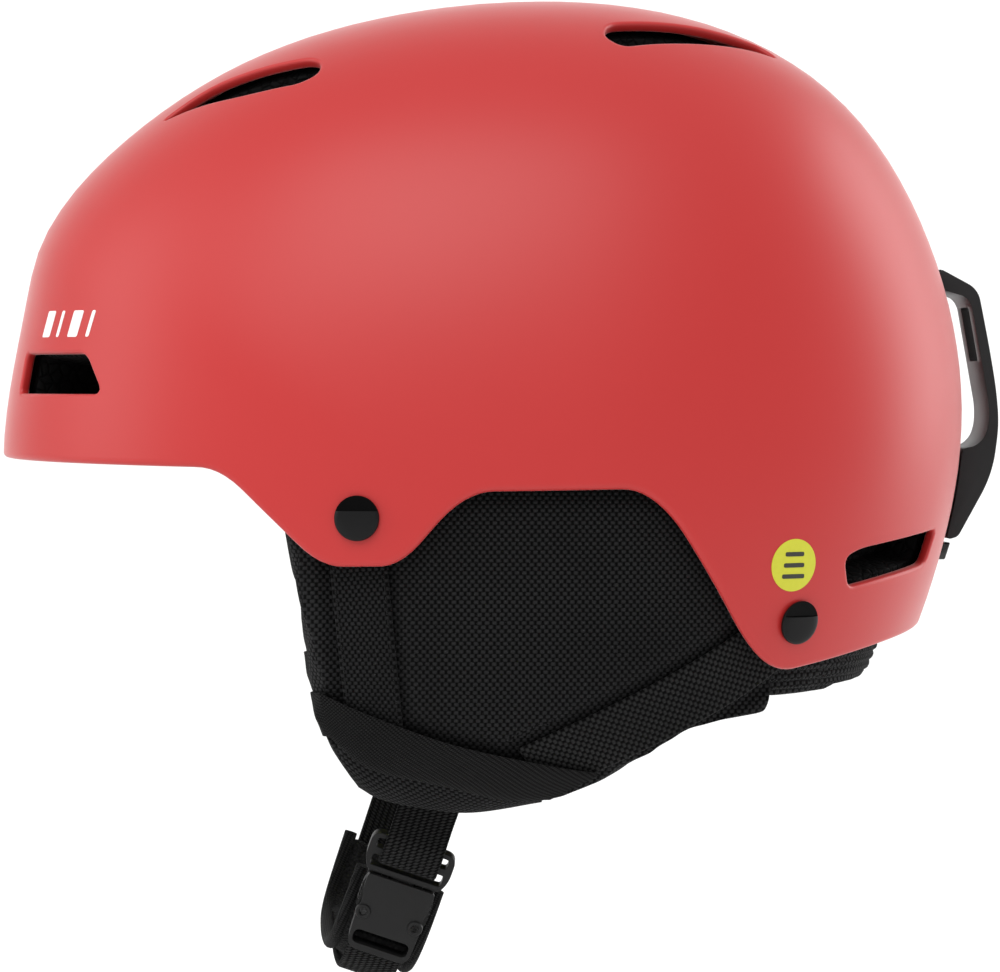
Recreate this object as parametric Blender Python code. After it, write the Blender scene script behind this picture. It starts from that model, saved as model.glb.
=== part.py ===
"""Ski helmet: hard shell, foam liner, slip liner, ear pads, chin strap and goggle clip.

Frame: +Z up, the front of the helmet faces -Y and the wearer's left is +X.
The origin is the middle of the head opening, level with the brow edge.
Sizes are in millimetres and become metres where a mesh is made.
"""
import math

import bmesh
import bpy
import numpy as np
from mathutils import Vector

MM = 0.001

# Outer form: the mid-plane outline (y, z), closed below the rim, and the half width
CENTRE_Y = 10.0
CENTRE_Z = -25.0
HALF_WIDTH = 108.0
FULLNESS = 2.25
PROFILE = (
    (-136.6, 0.0), (-130.2, 43.0), (-126.4, 58.5), (-119.5, 71.0), (-102.0, 89.5),
    (-67.0, 112.4), (-24.0, 125.8), (17.0, 129.7), (62.5, 123.8), (101.0, 102.5),
    (126.0, 65.0), (137.0, 14.0), (130.5, -29.0), (118.0, -62.0), (94.0, -94.0),
    (53.0, -117.0), (0.0, -126.0), (-55.0, -116.0), (-100.0, -85.0), (-128.0, -42.0),
)

# Lower edges as (turn from the front in degrees, height, half length of the rounding)
SHELL_RIM = (
    (0, 0.0, 0), (47.3, -1.5, 3.0), (60.0, -27.6, 2.8), (70.4, -27.3, 2.8), (79.1, -7.6, 4.0),
    (105.7, -6.9, 4.5), (123.2, -58.0, 6.0), (153.5, -49.0, 14.0), (180, -47.0, 0),
)
FOAM_RIM = ((0, 2.0, 0), (51, 4.5, 4.0), (129.5, 4.5, 4.0), (151.5, -38.0, 8.0), (180, -42.0, 0))
LINER_RIM = ((0, 4.0, 0), (60, 7.0, 10.0), (120, 7.0, 10.0), (180, -4.0, 0))

# Layers as insets from the outer surface
SHELL_WALL = 2.8
FOAM_OUTER = 4.8
FOAM_INNER = 26.0
LINER_OUTER = 28.8
LINER_INNER = 30.0
COMFORT_OUTER = 32.6
COMFORT_INNER = 38.2
PLATE_OUTER = 3.6
PLATE_INNER = 4.6
STRAP_OUTER = 5.5
STRAP_INNER = 6.7
PAD_OUTER = 7.3
EAR_PAD_DEPTH = 15.0

# Anchors that hold the ear pads and the webbing, in side view (y, z)
FRONT_ANCHOR = (-38.7, -14.6)
REAR_ANCHOR = (79.6, -43.1)
CAP_RADIUS = 6.0
STEM_RADIUS = 2.5
STEM_HOLE = 2.9

# Rubber studs of the slip liner: the head is wider than the liner's window
STUD_RADIUS = 2.6
STUD_HEAD = 9.5
STUD_WINDOW = 7.0

# Webbing
WEB_WIDTH = 19.0
WEB_THICK = 1.4
FRONT_WEB_WIDTH = 15.5

# Chin strap: pivot at the bottom of the ear pads, and the plane that the loop hangs in
PIVOT_X = 64.0
PIVOT_Y = -18.9
PIVOT_Z = -97.0
HANG_ANGLE = math.radians(19.0)
LEG_LEAN = math.radians(13.6)
PAD_NOTCH = 11.2

# Buckle
BUCKLE_HALF = 9.6
BUCKLE_TOP = 19.8
BUCKLE_BOTTOM = 42.0
BUCKLE_DEPTH = 6.2
FRAME_HALF = 12.0
FRAME_TOP = 8.0
FRAME_BOTTOM = 19.4

# Goggle clip
CLIP_HALF = 12.5
CLIP_PLAY = 0.6
CHEEK = 1.9
CLIP_PIN_Y = 127.0
CLIP_PIN_Z = 50.5
BARREL_RADIUS = 3.2
PIN_RADIUS = 1.2
BORE_RADIUS = 1.5

RED = (0.62, 0.072, 0.062, 1.0)
BLACK = (0.012, 0.012, 0.013, 1.0)
FABRIC = (0.008, 0.008, 0.008, 1.0)
FOAM_GREY = (0.03, 0.03, 0.032, 1.0)
LINER_YELLOW = (0.55, 0.60, 0.06, 1.0)
STEEL = (0.5, 0.5, 0.5, 1.0)


# ---------------------------------------------------------------- outer form
def spline_bends(stations, values, period):
    """Second derivatives of the smooth closed curve through values at rising stations."""
    count = len(stations)
    steps = np.diff(np.append(stations, stations[0] + period))
    matrix = np.zeros((count, count))
    target = np.zeros(count)
    for i in range(count):
        before = steps[i - 1]
        after = steps[i]
        following = (i + 1) % count
        matrix[i, i - 1] += before
        matrix[i, i] += 2 * (before + after)
        matrix[i, following] += after
        slope_after = (values[following] - values[i]) / after
        slope_before = (values[i] - values[i - 1]) / before
        target[i] = 6 * (slope_after - slope_before)
    return steps, np.linalg.solve(matrix, target)


def polar(point):
    """Turn and distance of a mid-plane point about the centre."""
    along = point[0] - CENTRE_Y
    up = point[1] - CENTRE_Z
    return math.atan2(up, along), math.hypot(along, up)


POLAR = sorted(polar(point) for point in PROFILE)
TURNS = np.array([turn for turn, _ in POLAR])
RADII = np.array([radius for _, radius in POLAR])
STEPS, BENDS = spline_bends(TURNS, RADII, math.tau)


def profile_radius(turn):
    """Distance from the centre to the mid-plane outline in one direction."""
    turn = (turn - TURNS[0]) % math.tau + TURNS[0]
    i = int(np.searchsorted(TURNS, turn, side="right")) - 1
    j = (i + 1) % len(TURNS)
    step = STEPS[i]
    a = (TURNS[i] + step - turn) / step
    b = 1 - a
    bend = ((a ** 3 - a) * BENDS[i] + (b ** 3 - b) * BENDS[j]) * step * step / 6
    return a * RADII[i] + b * RADII[j] + bend


def form(x, y, z, inset):
    """Below 1 inside the outer form made smaller by inset, 1 on it, above 1 outside."""
    turn, distance = polar((y, z))
    lengthwise = (distance / (profile_radius(turn) - inset)) ** FULLNESS
    return lengthwise + (abs(x) / (HALF_WIDTH - inset)) ** FULLNESS


def march(start, direction, inset, reach=200.0):
    """Point where a ray from inside the form meets its surface."""
    near = 0.0
    far = reach
    for _ in range(40):
        middle = (near + far) / 2
        point = [start[i] + direction[i] * middle for i in range(3)]
        if form(*point, inset) < 1:
            near = middle
        else:
            far = middle
    return Vector(start) + Vector(direction) * near


def polar_point(turn, rise, inset):
    """Surface point seen from the centre: turn from the front, rise above level."""
    direction = (math.sin(turn) * math.cos(rise), -math.cos(turn) * math.cos(rise), math.sin(rise))
    return march((0.0, CENTRE_Y, CENTRE_Z), direction, inset)


def wall_point(turn, height, inset):
    """Surface point at one height, looking outward from the centre line."""
    return march((0.0, CENTRE_Y, height), (math.sin(turn), -math.cos(turn), 0.0), inset)


def side_point(y, z, inset, side):
    """Surface point on the left (side 1) or right (side -1) for a place in side view."""
    return march((0.0, y, z), (side, 0.0, 0.0), inset)


def top_point(x, y, inset):
    return march((x, y, CENTRE_Z), (0.0, 0.0, 1.0), inset)


def back_point(x, z, inset):
    return march((x, CENTRE_Y, z), (0.0, 1.0, 0.0), inset)


def surface_normal(point, inset=0.0):
    """Outward direction of the form at a surface point."""
    step = 0.5
    slope = []
    for axis in range(3):
        ahead = list(point)
        behind = list(point)
        ahead[axis] += step
        behind[axis] -= step
        slope.append(form(*ahead, inset) - form(*behind, inset))
    return Vector(slope).normalized()


def edge_height(rim, degrees):
    """Height of a lower edge: straight runs between corners, each corner rounded."""
    degrees = abs((degrees + 180) % 360 - 180)
    corners = list(rim)
    for i in range(1, len(corners) - 1):
        here, height, reach = corners[i]
        if abs(degrees - here) < reach:
            before = corners[i - 1]
            after = corners[i + 1]
            start = height + (before[1] - height) * reach / (here - before[0])
            end = height + (after[1] - height) * reach / (after[0] - here)
            t = (degrees - here + reach) / (2 * reach)
            return (1 - t) ** 2 * start + 2 * t * (1 - t) * height + t ** 2 * end
    return float(np.interp(degrees, [c[0] for c in corners], [c[1] for c in corners]))


# ------------------------------------------------------------------- meshes
def material(name, colour, roughness, metallic=0.0):
    made = bpy.data.materials.new(name)
    made.use_nodes = True
    shader = made.node_tree.nodes["Principled BSDF"]
    shader.inputs["Base Color"].default_value = colour
    shader.inputs["Roughness"].default_value = roughness
    shader.inputs["Metallic"].default_value = metallic
    return made


def part(name, points, faces, look, origin=(0.0, 0.0, 0.0)):
    """Make a named object from points in millimetres, with its origin at one place."""
    mesh = bpy.data.meshes.new(name)
    shift = Vector(origin)
    mesh.from_pydata([(Vector(p) - shift) * MM for p in points], [], faces)
    shape = bmesh.new()
    shape.from_mesh(mesh)
    bmesh.ops.recalc_face_normals(shape, faces=shape.faces[:])
    shape.to_mesh(mesh)
    shape.free()
    made = bpy.data.objects.new(name, mesh)
    made.location = shift * MM
    bpy.context.collection.objects.link(made)
    if look is not None:
        mesh.materials.append(material(name, *look))
    return made


def sheet_faces(rows, columns, start, closed=False):
    faces = []
    for r in range(rows - 1):
        for c in range(columns if closed else columns - 1):
            d = (c + 1) % columns
            faces.append((start + r * columns + c, start + r * columns + d,
                          start + (r + 1) * columns + d, start + (r + 1) * columns + c))
    return faces


def slab(name, outer, inner, look, origin=(0.0, 0.0, 0.0)):
    """Solid between two sheets of points that have the same rows and columns."""
    rows = len(outer)
    columns = len(outer[0])
    points = [p for row in outer for p in row] + [p for row in inner for p in row]
    under = rows * columns
    faces = sheet_faces(rows, columns, 0)
    faces += [tuple(reversed(face)) for face in sheet_faces(rows, columns, under)]
    border = list(range(columns))
    border += [r * columns + columns - 1 for r in range(1, rows)]
    border += [(rows - 1) * columns + c for c in range(columns - 2, -1, -1)]
    border += [r * columns for r in range(rows - 2, 0, -1)]
    for a, b in zip(border, border[1:] + border[:1]):
        faces.append((a, b, under + b, under + a))
    return part(name, points, faces, look, origin)


def prism(name, outline, shift, look, origin=(0.0, 0.0, 0.0)):
    """Solid swept from a flat outline of 3-D points along one shift."""
    count = len(outline)
    points = [Vector(p) for p in outline] + [Vector(p) + Vector(shift) for p in outline]
    faces = [tuple(range(count)), tuple(range(2 * count - 1, count - 1, -1))]
    for i in range(count):
        j = (i + 1) % count
        faces.append((i, j, count + j, count + i))
    return part(name, points, faces, look, origin)


def box(name, low, high, look=None, origin=(0.0, 0.0, 0.0)):
    outline = [(low[0], low[1], low[2]), (high[0], low[1], low[2]),
               (high[0], high[1], low[2]), (low[0], high[1], low[2])]
    return prism(name, outline, (0, 0, high[2] - low[2]), look, origin)


def frame_box(name, spans, frame, look=None, origin=(0.0, 0.0, 0.0)):
    """Box given by spans along three directions of a frame (start, across, down, out)."""
    start, across, down, out = frame
    (a0, a1), (d0, d1), (o0, o1) = spans
    corners = [(a0, d0), (a1, d0), (a1, d1), (a0, d1)]
    outline = [start + across * a + down * d + out * o0 for a, d in corners]
    return prism(name, outline, out * (o1 - o0), look, origin)


def lathe(name, outline, base, axis, look, sides=20, hollow=False):
    """Turned piece: outline of (radius, distance along the axis), closed when hollow."""
    axis = Vector(axis).normalized()
    across = axis.orthogonal().normalized()
    other = axis.cross(across)
    points = []
    rings = []
    for radius, along in outline:
        middle = Vector(base) + axis * along
        if radius == 0:
            rings.append([len(points)] * sides)
            points.append(middle)
            continue
        rings.append([len(points) + i for i in range(sides)])
        for i in range(sides):
            turn = math.tau * i / sides
            points.append(middle + (across * math.cos(turn) + other * math.sin(turn)) * radius)
    pairs = list(zip(rings, rings[1:]))
    if hollow:
        pairs.append((rings[-1], rings[0]))
    faces = []
    for first, second in pairs:
        for i in range(sides):
            j = (i + 1) % sides
            corners = [first[i], first[j], second[j], second[i]]
            faces.append(tuple(dict.fromkeys(corners)))
    made = part(name, points, faces, look)
    made.data.shade_smooth()
    made.data.set_sharp_from_angle(angle=math.radians(35))
    return made


def cut(target, cutter, operation="DIFFERENCE"):
    cutter.display_type = "WIRE"
    cutter.hide_render = True
    step = target.modifiers.new(cutter.name, "BOOLEAN")
    step.object = cutter
    step.operation = operation
    step.solver = "EXACT"


def rod(name, base, axis, radius, length, sides=20):
    """Cutter or pin: a plain round bar that starts at base."""
    outline = ((0, 0), (radius, 0), (radius, length), (0, length))
    return lathe(name, outline, base, axis, None, sides)


def smooth_curve(points, count):
    """Evenly shared points on a Catmull-Rom curve through the given ones."""
    nodes = [Vector(p) for p in points]
    ahead = nodes[0] * 2 - nodes[1]
    after = nodes[-1] * 2 - nodes[-2]
    chain = [ahead] + nodes + [after]
    spans = len(nodes) - 1
    curve = []
    for k in range(count):
        place = spans * k / (count - 1)
        i = min(int(place), spans - 1)
        t = place - i
        p0, p1, p2, p3 = chain[i:i + 4]
        curve.append(0.5 * (2 * p1 + (p2 - p0) * t + (2 * p0 - 5 * p1 + 4 * p2 - p3) * t * t
                            + (3 * p1 - p0 - 3 * p2 + p3) * t ** 3))
    return curve


# ---------------------------------------------------------- shell and liners
def turns_by_steps(steps):
    """Turns right round the helmet from (end, step) pairs for one half."""
    half = [0.0]
    for end, step in steps:
        count = round((end - half[-1]) / step)
        start = half[-1]
        half += [start + (end - start) * (i + 1) / count for i in range(count)]
    return half + [360 - turn for turn in reversed(half[1:-1])]


def dome(name, rim, outer, inner, turns, rows, look):
    """Bowl between two insets of the form, from a lower edge up to the crown."""
    points = []
    faces = []
    columns = len(turns)
    starts = []
    for inset in (outer, inner):
        starts.append(len(points))
        for row in range(rows):
            for degrees in turns:
                turn = math.radians(degrees)
                edge = wall_point(turn, edge_height(rim, degrees), inset)
                low = math.atan2(edge.z - CENTRE_Z, math.hypot(edge.x, edge.y - CENTRE_Y))
                rise = low + (math.pi / 2 - low) * row / rows
                points.append(edge if row == 0 else polar_point(turn, rise, inset))
        points.append(polar_point(0.0, math.pi / 2, inset))
    for start in starts:
        faces += sheet_faces(rows, columns, start, closed=True)
        crown = start + rows * columns
        last = start + (rows - 1) * columns
        faces += [(last + c, last + (c + 1) % columns, crown) for c in range(columns)]
    for c in range(columns):
        d = (c + 1) % columns
        faces.append((starts[0] + c, starts[0] + d, starts[1] + d, starts[1] + c))
    return part(name, points, faces, look)


def vent_outlines():
    """The four vents of the left half, as corner points on the outer surface."""
    brow = [march((0.0, CENTRE_Y, z), Vector((x, y - CENTRE_Y, 0)).normalized(), 0.0)
            for x, y, z in ((31.8, -128.5, 29), (62.3, -111.2, 29), (68.3, -107.4, 20),
                            (67, -109, 18), (31.8, -130.5, 18))]
    front = [top_point(x, y, 0.0) for x, y in ((26.8, -78.2), (41.4, -50.1), (45.3, -47.8),
                                               (49.3, -48), (51.5, -51.9), (45.7, -68.8), (28.8, -91.1))]
    rear = [top_point(x, y, 0.0) for x, y in ((42.4, 32.8), (49.8, 31.3), (53.7, 35.5), (43.9, 59.7),
                                              (28.7, 81.4), (23.9, 76.9))]
    nape = [side_point(y, z, 0.0, 1) for y, z in ((93.6, -26.4), (94.5, -33), (96.9, -34.2),
                                                  (119.8, -29.4), (123.5, -20.1), (97.9, -24.1))]
    return {"brow": brow, "front": front, "rear": rear, "nape": nape}


def vent_cutter(name, outline, side, outward=12.0, inward=46.0):
    middle = sum(outline, Vector()) / len(outline)
    normal = surface_normal(middle)
    low = [point - normal * inward for point in outline]
    flip = Vector((side, 1, 1))
    return prism(name, [p * flip for p in low], normal * flip * (inward + outward), None)


def add_shells():
    fine = turns_by_steps(((45, 9), (82, 4.1), (102, 6.7), (130, 4), (180, 7.1)))
    plain = turns_by_steps(((180, 9),))
    shell = dome("outer_shell", SHELL_RIM, 0.0, SHELL_WALL, fine, 9, (RED, 0.5))
    foam = dome("foam_liner", FOAM_RIM, FOAM_OUTER, FOAM_INNER, plain, 8, (FOAM_GREY, 0.9))
    liner = dome("slip_liner", LINER_RIM, LINER_OUTER, LINER_INNER, plain, 8, (LINER_YELLOW, 0.35))
    for name, outline in vent_outlines().items():
        for side, word in ((1, "left"), (-1, "right")):
            cutter = vent_cutter(f"cut_{name}_vent_{word}", outline, side)
            for layer in (shell, foam, liner):
                cut(layer, cutter)
    return shell, foam, liner


def add_slip_anchors(foam, liner):
    """Rubber studs that tie the slip liner to the foam and let it shift."""
    places = {"front": (0, 52), "rear": (180, 50), "left": (90, 46), "right": (270, 46)}
    for word, (degrees, height) in places.items():
        seat = wall_point(math.radians(degrees), height, FOAM_INNER)
        inward = -surface_normal(seat, FOAM_INNER)
        outline = ((0, -5), (STUD_RADIUS, -5), (STUD_RADIUS, 6.9), (STUD_HEAD, 7.1),
                   (STUD_HEAD - 0.5, 8.3), (0, 8.7))
        lathe(f"slip_anchor_{word}", outline, seat, inward, (BLACK, 0.6), 16)
        cut(foam, rod(f"cut_stud_seat_{word}", seat - inward * 5.5, inward, STUD_RADIUS + 0.4, 9, 16))
        cut(liner, rod(f"cut_stud_window_{word}", seat, inward, STUD_WINDOW, 9, 16))


# -------------------------------------------------------------- inside pads
def comfort_band(name, turns, heights, outer, inner, look=(FABRIC, 0.95)):
    """Pad between two insets, over a span of turns (degrees) and of heights."""
    columns = max(3, round(abs(turns[1] - turns[0]) / 9) + 1)
    grids = []
    for inset in (outer, inner):
        grid = []
        for height in np.linspace(heights[0], heights[1], 4):
            row = [wall_point(math.radians(turn), height, inset)
                   for turn in np.linspace(turns[0], turns[1], columns)]
            grid.append(row)
        grids.append(grid)
    return slab(name, grids[0], grids[1], look)


def add_comfort_pads():
    comfort_band("brow_pad", (-58, 58), (8, 34), COMFORT_OUTER, COMFORT_INNER)
    comfort_band("side_pad_left", (66, 114), (9, 34), COMFORT_OUTER, COMFORT_INNER)
    comfort_band("side_pad_right", (-66, -114), (9, 34), COMFORT_OUTER, COMFORT_INNER)
    comfort_band("rear_pad", (150, 210), (6, 32), COMFORT_OUTER, COMFORT_INNER)
    grids = []
    for inset in (COMFORT_OUTER, COMFORT_INNER):
        grids.append([[top_point(x, y, inset) for x in np.linspace(-17, 17, 5)]
                      for y in np.linspace(-42, 58, 9)])
    slab("crown_pad", grids[0], grids[1], (FABRIC, 0.95))


def add_fit_system():
    """Sprung cradle behind the head, its two guides and its pad."""
    grids = []
    for inset in (0.0, 2.2):
        grid = []
        for level in np.linspace(0, 1, 4):
            row = []
            for turn in np.linspace(93, 267, 25):
                off = abs(turn - 180)
                wide = min(1.0, max(0.0, (60 - off) / 18))
                half = 4.0 + 5.5 * wide * wide * (3 - 2 * wide)
                height = -19 + half * (2 * level - 1)
                row.append(wall_point(math.radians(turn), height, 34.5 + 4.5 * wide + inset))
            grid.append(row)
        grids.append(grid)
    slab("fit_cradle", grids[0], grids[1], (BLACK, 0.5))
    comfort_band("nape_pad", (150, 210), (-27, -11), 42.2, 46.5)
    for side, word in ((1, "left"), (-1, "right")):
        low = (min(67.0 * side, 83.5 * side), 20.0, -26.0)
        high = (max(67.0 * side, 83.5 * side), 30.0, 4.0)
        guide = box(f"fit_guide_{word}", low, high, (BLACK, 0.5))
        inner = sorted((68.4 * side, 79.0 * side))
        cut(guide, box(f"cut_guide_slot_{word}", (inner[0], 15, -24.4), (inner[1], 35, -13.6)))


# ------------------------------------------------------- ear pads and straps
def coons(top, bottom, left, right, u, v):
    """Point of the patch filled between four edge curves given as sampled lists."""
    def at(curve, t):
        place = t * (len(curve) - 1)
        i = min(int(place), len(curve) - 2)
        return curve[i].lerp(curve[i + 1], place - i)
    ruled = at(top, u) * (1 - v) + at(bottom, u) * v + at(left, v) * (1 - u) + at(right, v) * u
    corners = (top[0] * (1 - u) * (1 - v) + top[-1] * u * (1 - v)
               + bottom[0] * (1 - u) * v + bottom[-1] * u * v)
    return ruled - corners


def side_patch(edges, columns, rows, inset, side):
    """Patch of the form's side, bounded by four smooth edges given in side view."""
    top, bottom, left, right = [smooth_curve([(y, z, 0) for y, z in edge], 25) for edge in edges]
    grid = []
    for r in range(rows):
        row = []
        for c in range(columns):
            place = coons(top, bottom, left, right, c / (columns - 1), r / (rows - 1))
            row.append(side_point(place.x, place.y, inset, side))
        grid.append(row)
    return grid


EAR_PAD_EDGES = (
    ((-57.6, 1), (7, 1), (68, 0)),
    ((-39.9, -86), (-29.1, -93.6), (-11, -96), (5.2, -94), (27.5, -86.5), (53.6, -72.5), (69.3, -66.5)),
    ((-57.6, 1), (-56.1, -22), (-52.3, -46), (-48.8, -68), (-39.9, -86)),
    ((68, 0), (71, -32), (69.3, -66.5)),
)
BAND_EDGES = (
    ((-48.5, -61.5), (-37.6, -66.5), (-13.5, -75.3), (12.2, -81.3), (27, -84)),
    ((-46, -73.5), (-34.7, -82.7), (-16, -87), (0.4, -91.2), (13.7, -91.3)),
    ((-48.5, -61.5), (-46, -73.5)),
    ((27, -84), (13.7, -91.3)),
)


def anchor_axis(place, side):
    seat = side_point(place[0], place[1], 0.0, side)
    return seat, surface_normal(seat)


def web_on_side(name, path, width, side, outer, inner, stations):
    """Flat strap that lies along the form's side, following a path in side view."""
    line = smooth_curve([(y, z, 0) for y, z in path], stations)
    grids = [[], []]
    for i, place in enumerate(line):
        ahead = line[min(i + 1, stations - 1)]
        behind = line[max(i - 1, 0)]
        along = (ahead - behind).normalized()
        across = Vector((-along.y, along.x, 0)) * width / 2
        for grid, inset in zip(grids, (outer, inner)):
            row = (place - across, place, place + across)
            grid.append([side_point(p.x, p.y, inset, side) for p in row])
    return slab(name, grids[0], grids[1], (FABRIC, 0.9))


def add_ear_pad(side, word, shell):
    outer = side_patch(EAR_PAD_EDGES, 13, 9, PAD_OUTER, side)
    inner = [[p - Vector((EAR_PAD_DEPTH * side, 0, 0)) for p in row] for row in outer]
    pad = slab(f"ear_pad_{word}", outer, inner, (FABRIC, 0.95))
    notch_start = Vector((PIVOT_X * side - 25, PIVOT_Y, PIVOT_Z))
    cut(pad, rod(f"cut_strap_notch_{word}", notch_start, (1, 0, 0), PAD_NOTCH, 50, 24))
    band = [side_patch(BAND_EDGES, 10, 3, inset, side) for inset in (PLATE_OUTER, PLATE_INNER)]
    slab(f"ear_pad_band_{word}", band[0], band[1], (FABRIC, 0.9))

    grids = []
    turns = np.linspace(53.5, 136, 22)
    for inset in (PLATE_OUTER, PLATE_INNER):
        grid = []
        for level in np.linspace(0, 1, 3):
            row = []
            for turn in turns:
                low = edge_height(SHELL_RIM, turn) + 3.2
                high = min(2.0, edge_height(FOAM_RIM, turn) - 2.5)
                height = low + (high - low) * level
                row.append(wall_point(math.radians(turn * side), height, inset))
            grid.append(row)
        grids.append(grid)
    plate = slab(f"ear_pad_plate_{word}", grids[0], grids[1], (BLACK, 0.45))

    front_path = ((-39.4, -7), (-38.3, -25), (-36.7, -42), (-34.8, -60), (-32.7, -79))
    front = web_on_side(f"front_strap_{word}", front_path, FRONT_WEB_WIDTH, side, STRAP_OUTER,
                        STRAP_INNER, 9)
    rear_path = ((86.3, -38), (66.9, -53), (47.2, -64.5), (27.2, -74.5), (9, -83))
    rear = web_on_side(f"rear_strap_{word}", rear_path, WEB_WIDTH - 1, side, STRAP_OUTER,
                       STRAP_INNER, 9)

    for place, strap, where in ((FRONT_ANCHOR, front, "front"), (REAR_ANCHOR, rear, "rear")):
        seat, normal = anchor_axis(place, side)
        name = f"{where}_{word}"
        cap = ((0, -10.0), (STEM_RADIUS, -10.0), (STEM_RADIUS, 0.5), (CAP_RADIUS, 0.5),
               (CAP_RADIUS, 1.0), (CAP_RADIUS - 1.0, 1.8), (0, 2.2))
        lathe(f"anchor_cap_{name}", cap, seat, normal, (BLACK, 0.35), 16)
        nut = ((STEM_HOLE, -9.7), (5.5, -9.7), (5.5, -7.8), (STEM_HOLE, -7.8))
        lathe(f"anchor_nut_{name}", nut, seat, normal, (STEEL, 0.4, 1.0), 12, hollow=True)
        hole = rod(f"cut_stem_{name}", seat - normal * 9, normal, STEM_HOLE, 14, 16)
        for layer in (shell, plate, strap):
            cut(layer, hole)
        cut(pad, rod(f"cut_nut_pocket_{name}", seat - normal * 12, normal, 6.6, 14, 16))


def add_neck_roll():
    grids = []
    for depth in (0.0, 12.0):
        grid = []
        for level in np.linspace(0, 1, 4):
            row = []
            for turn in np.linspace(121, 239, 25):
                low = -63.0 - 4.0 * ((turn - 180) / 59) ** 2
                height = -50.0 + (low + 50.0) * level
                row.append(wall_point(math.radians(turn), height, PAD_OUTER + depth))
            grid.append(row)
        grids.append(grid)
    roll = slab("neck_roll", grids[0], grids[1], (FABRIC, 0.95))
    cut(roll, box("cut_roll_ends", (-120, -20, -90), (120, 72.6, -30)))


# ------------------------------------------------------------------ chin strap
ACROSS = Vector((0, math.cos(HANG_ANGLE), -math.sin(HANG_ANGLE)))
DOWN = Vector((0, -math.sin(HANG_ANGLE), -math.cos(HANG_ANGLE)))
SIDEWAYS = Vector((1, 0, 0))
HANG = Vector((0, PIVOT_Y, PIVOT_Z))
LEG_DOWN = DOWN * math.cos(LEG_LEAN) - SIDEWAYS * math.sin(LEG_LEAN)
LEG_OUT = SIDEWAYS * math.cos(LEG_LEAN) + DOWN * math.sin(LEG_LEAN)
LEG_START = HANG + SIDEWAYS * PIVOT_X
LEG = (LEG_START, ACROSS, LEG_DOWN, LEG_OUT)
LEFT_PIVOT = LEG_START
RIGHT_PIVOT = HANG - SIDEWAYS * PIVOT_X


def loop_point(x, drop):
    return HANG + SIDEWAYS * x + DOWN * drop


def ribbon(name, line, width, thick, look, origin):
    """Flat band along a line of points whose width runs across the loop's plane."""
    grids = [[], []]
    for i, place in enumerate(line):
        along = (line[min(i + 1, len(line) - 1)] - line[max(i - 1, 0)]).normalized()
        out = along.cross(ACROSS).normalized() * thick / 2
        across = ACROSS * width / 2
        grids[0].append([place - across + out, place + across + out])
        grids[1].append([place - across - out, place + across - out])
    return slab(name, grids[0], grids[1], look, origin)


def add_chin_strap():
    web = (FABRIC, 0.9)
    plan = ((-10, 0), (0, 0), (5, 1.6), (8.5, 3.6), (13, 3.6), (15.0, 3.1), (16.0, 1.4), (16.1, -1.5))
    leg_line = smooth_curve([LEG_START + LEG_DOWN * down + LEG_OUT * out for down, out in plan], 17)
    left = ribbon("chin_strap_left", leg_line, WEB_WIDTH, WEB_THICK, web, LEFT_PIVOT)
    around = [(56.5, 37.5), (52.6, 36.5), (50.4, 36.6), (48.3, 38.6), (46.5, 43), (42, 47.3),
              (34, 49.8), (0, 51.2), (-34, 50.2), (-48, 46.4), (-56, 38), (-60, 20), (-63.8, 1.0)]
    right_line = smooth_curve([loop_point(x, drop) for x, drop in around], 33)
    ribbon("chin_strap_right", right_line, WEB_WIDTH - 3.4, WEB_THICK, web, RIGHT_PIVOT)
    end_line = [loop_point(x, drop) for x, drop in ((-64.2, -0.6), (-66.3, -10))]
    end = ribbon("strap_end_right", end_line, WEB_WIDTH, WEB_THICK, web, RIGHT_PIVOT)
    for strap, pivot, word in ((left, LEFT_PIVOT, "left"), (end, RIGHT_PIVOT, "right")):
        ring = ((10.0, -12), (30.0, -12), (30.0, 12), (10.0, 12))
        rounding = lathe(f"cut_strap_top_{word}", ring, pivot, (1, 0, 0), None, 32, hollow=True)
        low = pivot + Vector((-15, -40, 0))
        high = pivot + Vector((15, 40, 40))
        keep = box(f"keep_strap_top_{word}", low, high)
        cut(rounding, keep, "INTERSECT")
        cut(strap, rounding)

    inside = [(49.0, 20), (47.6, 29), (43.6, 37), (37, 42.4), (24, 45.8), (0, 46.9),
              (-24, 46.3), (-38, 44.6), (-47, 39.5), (-51.5, 30), (-53.5, 22)]
    pad_line = smooth_curve([loop_point(x, drop) for x, drop in inside], 23)
    ribbon("chin_pad", pad_line, 23.5, 4.4, (FABRIC, 1.0), RIGHT_PIVOT)


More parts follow.
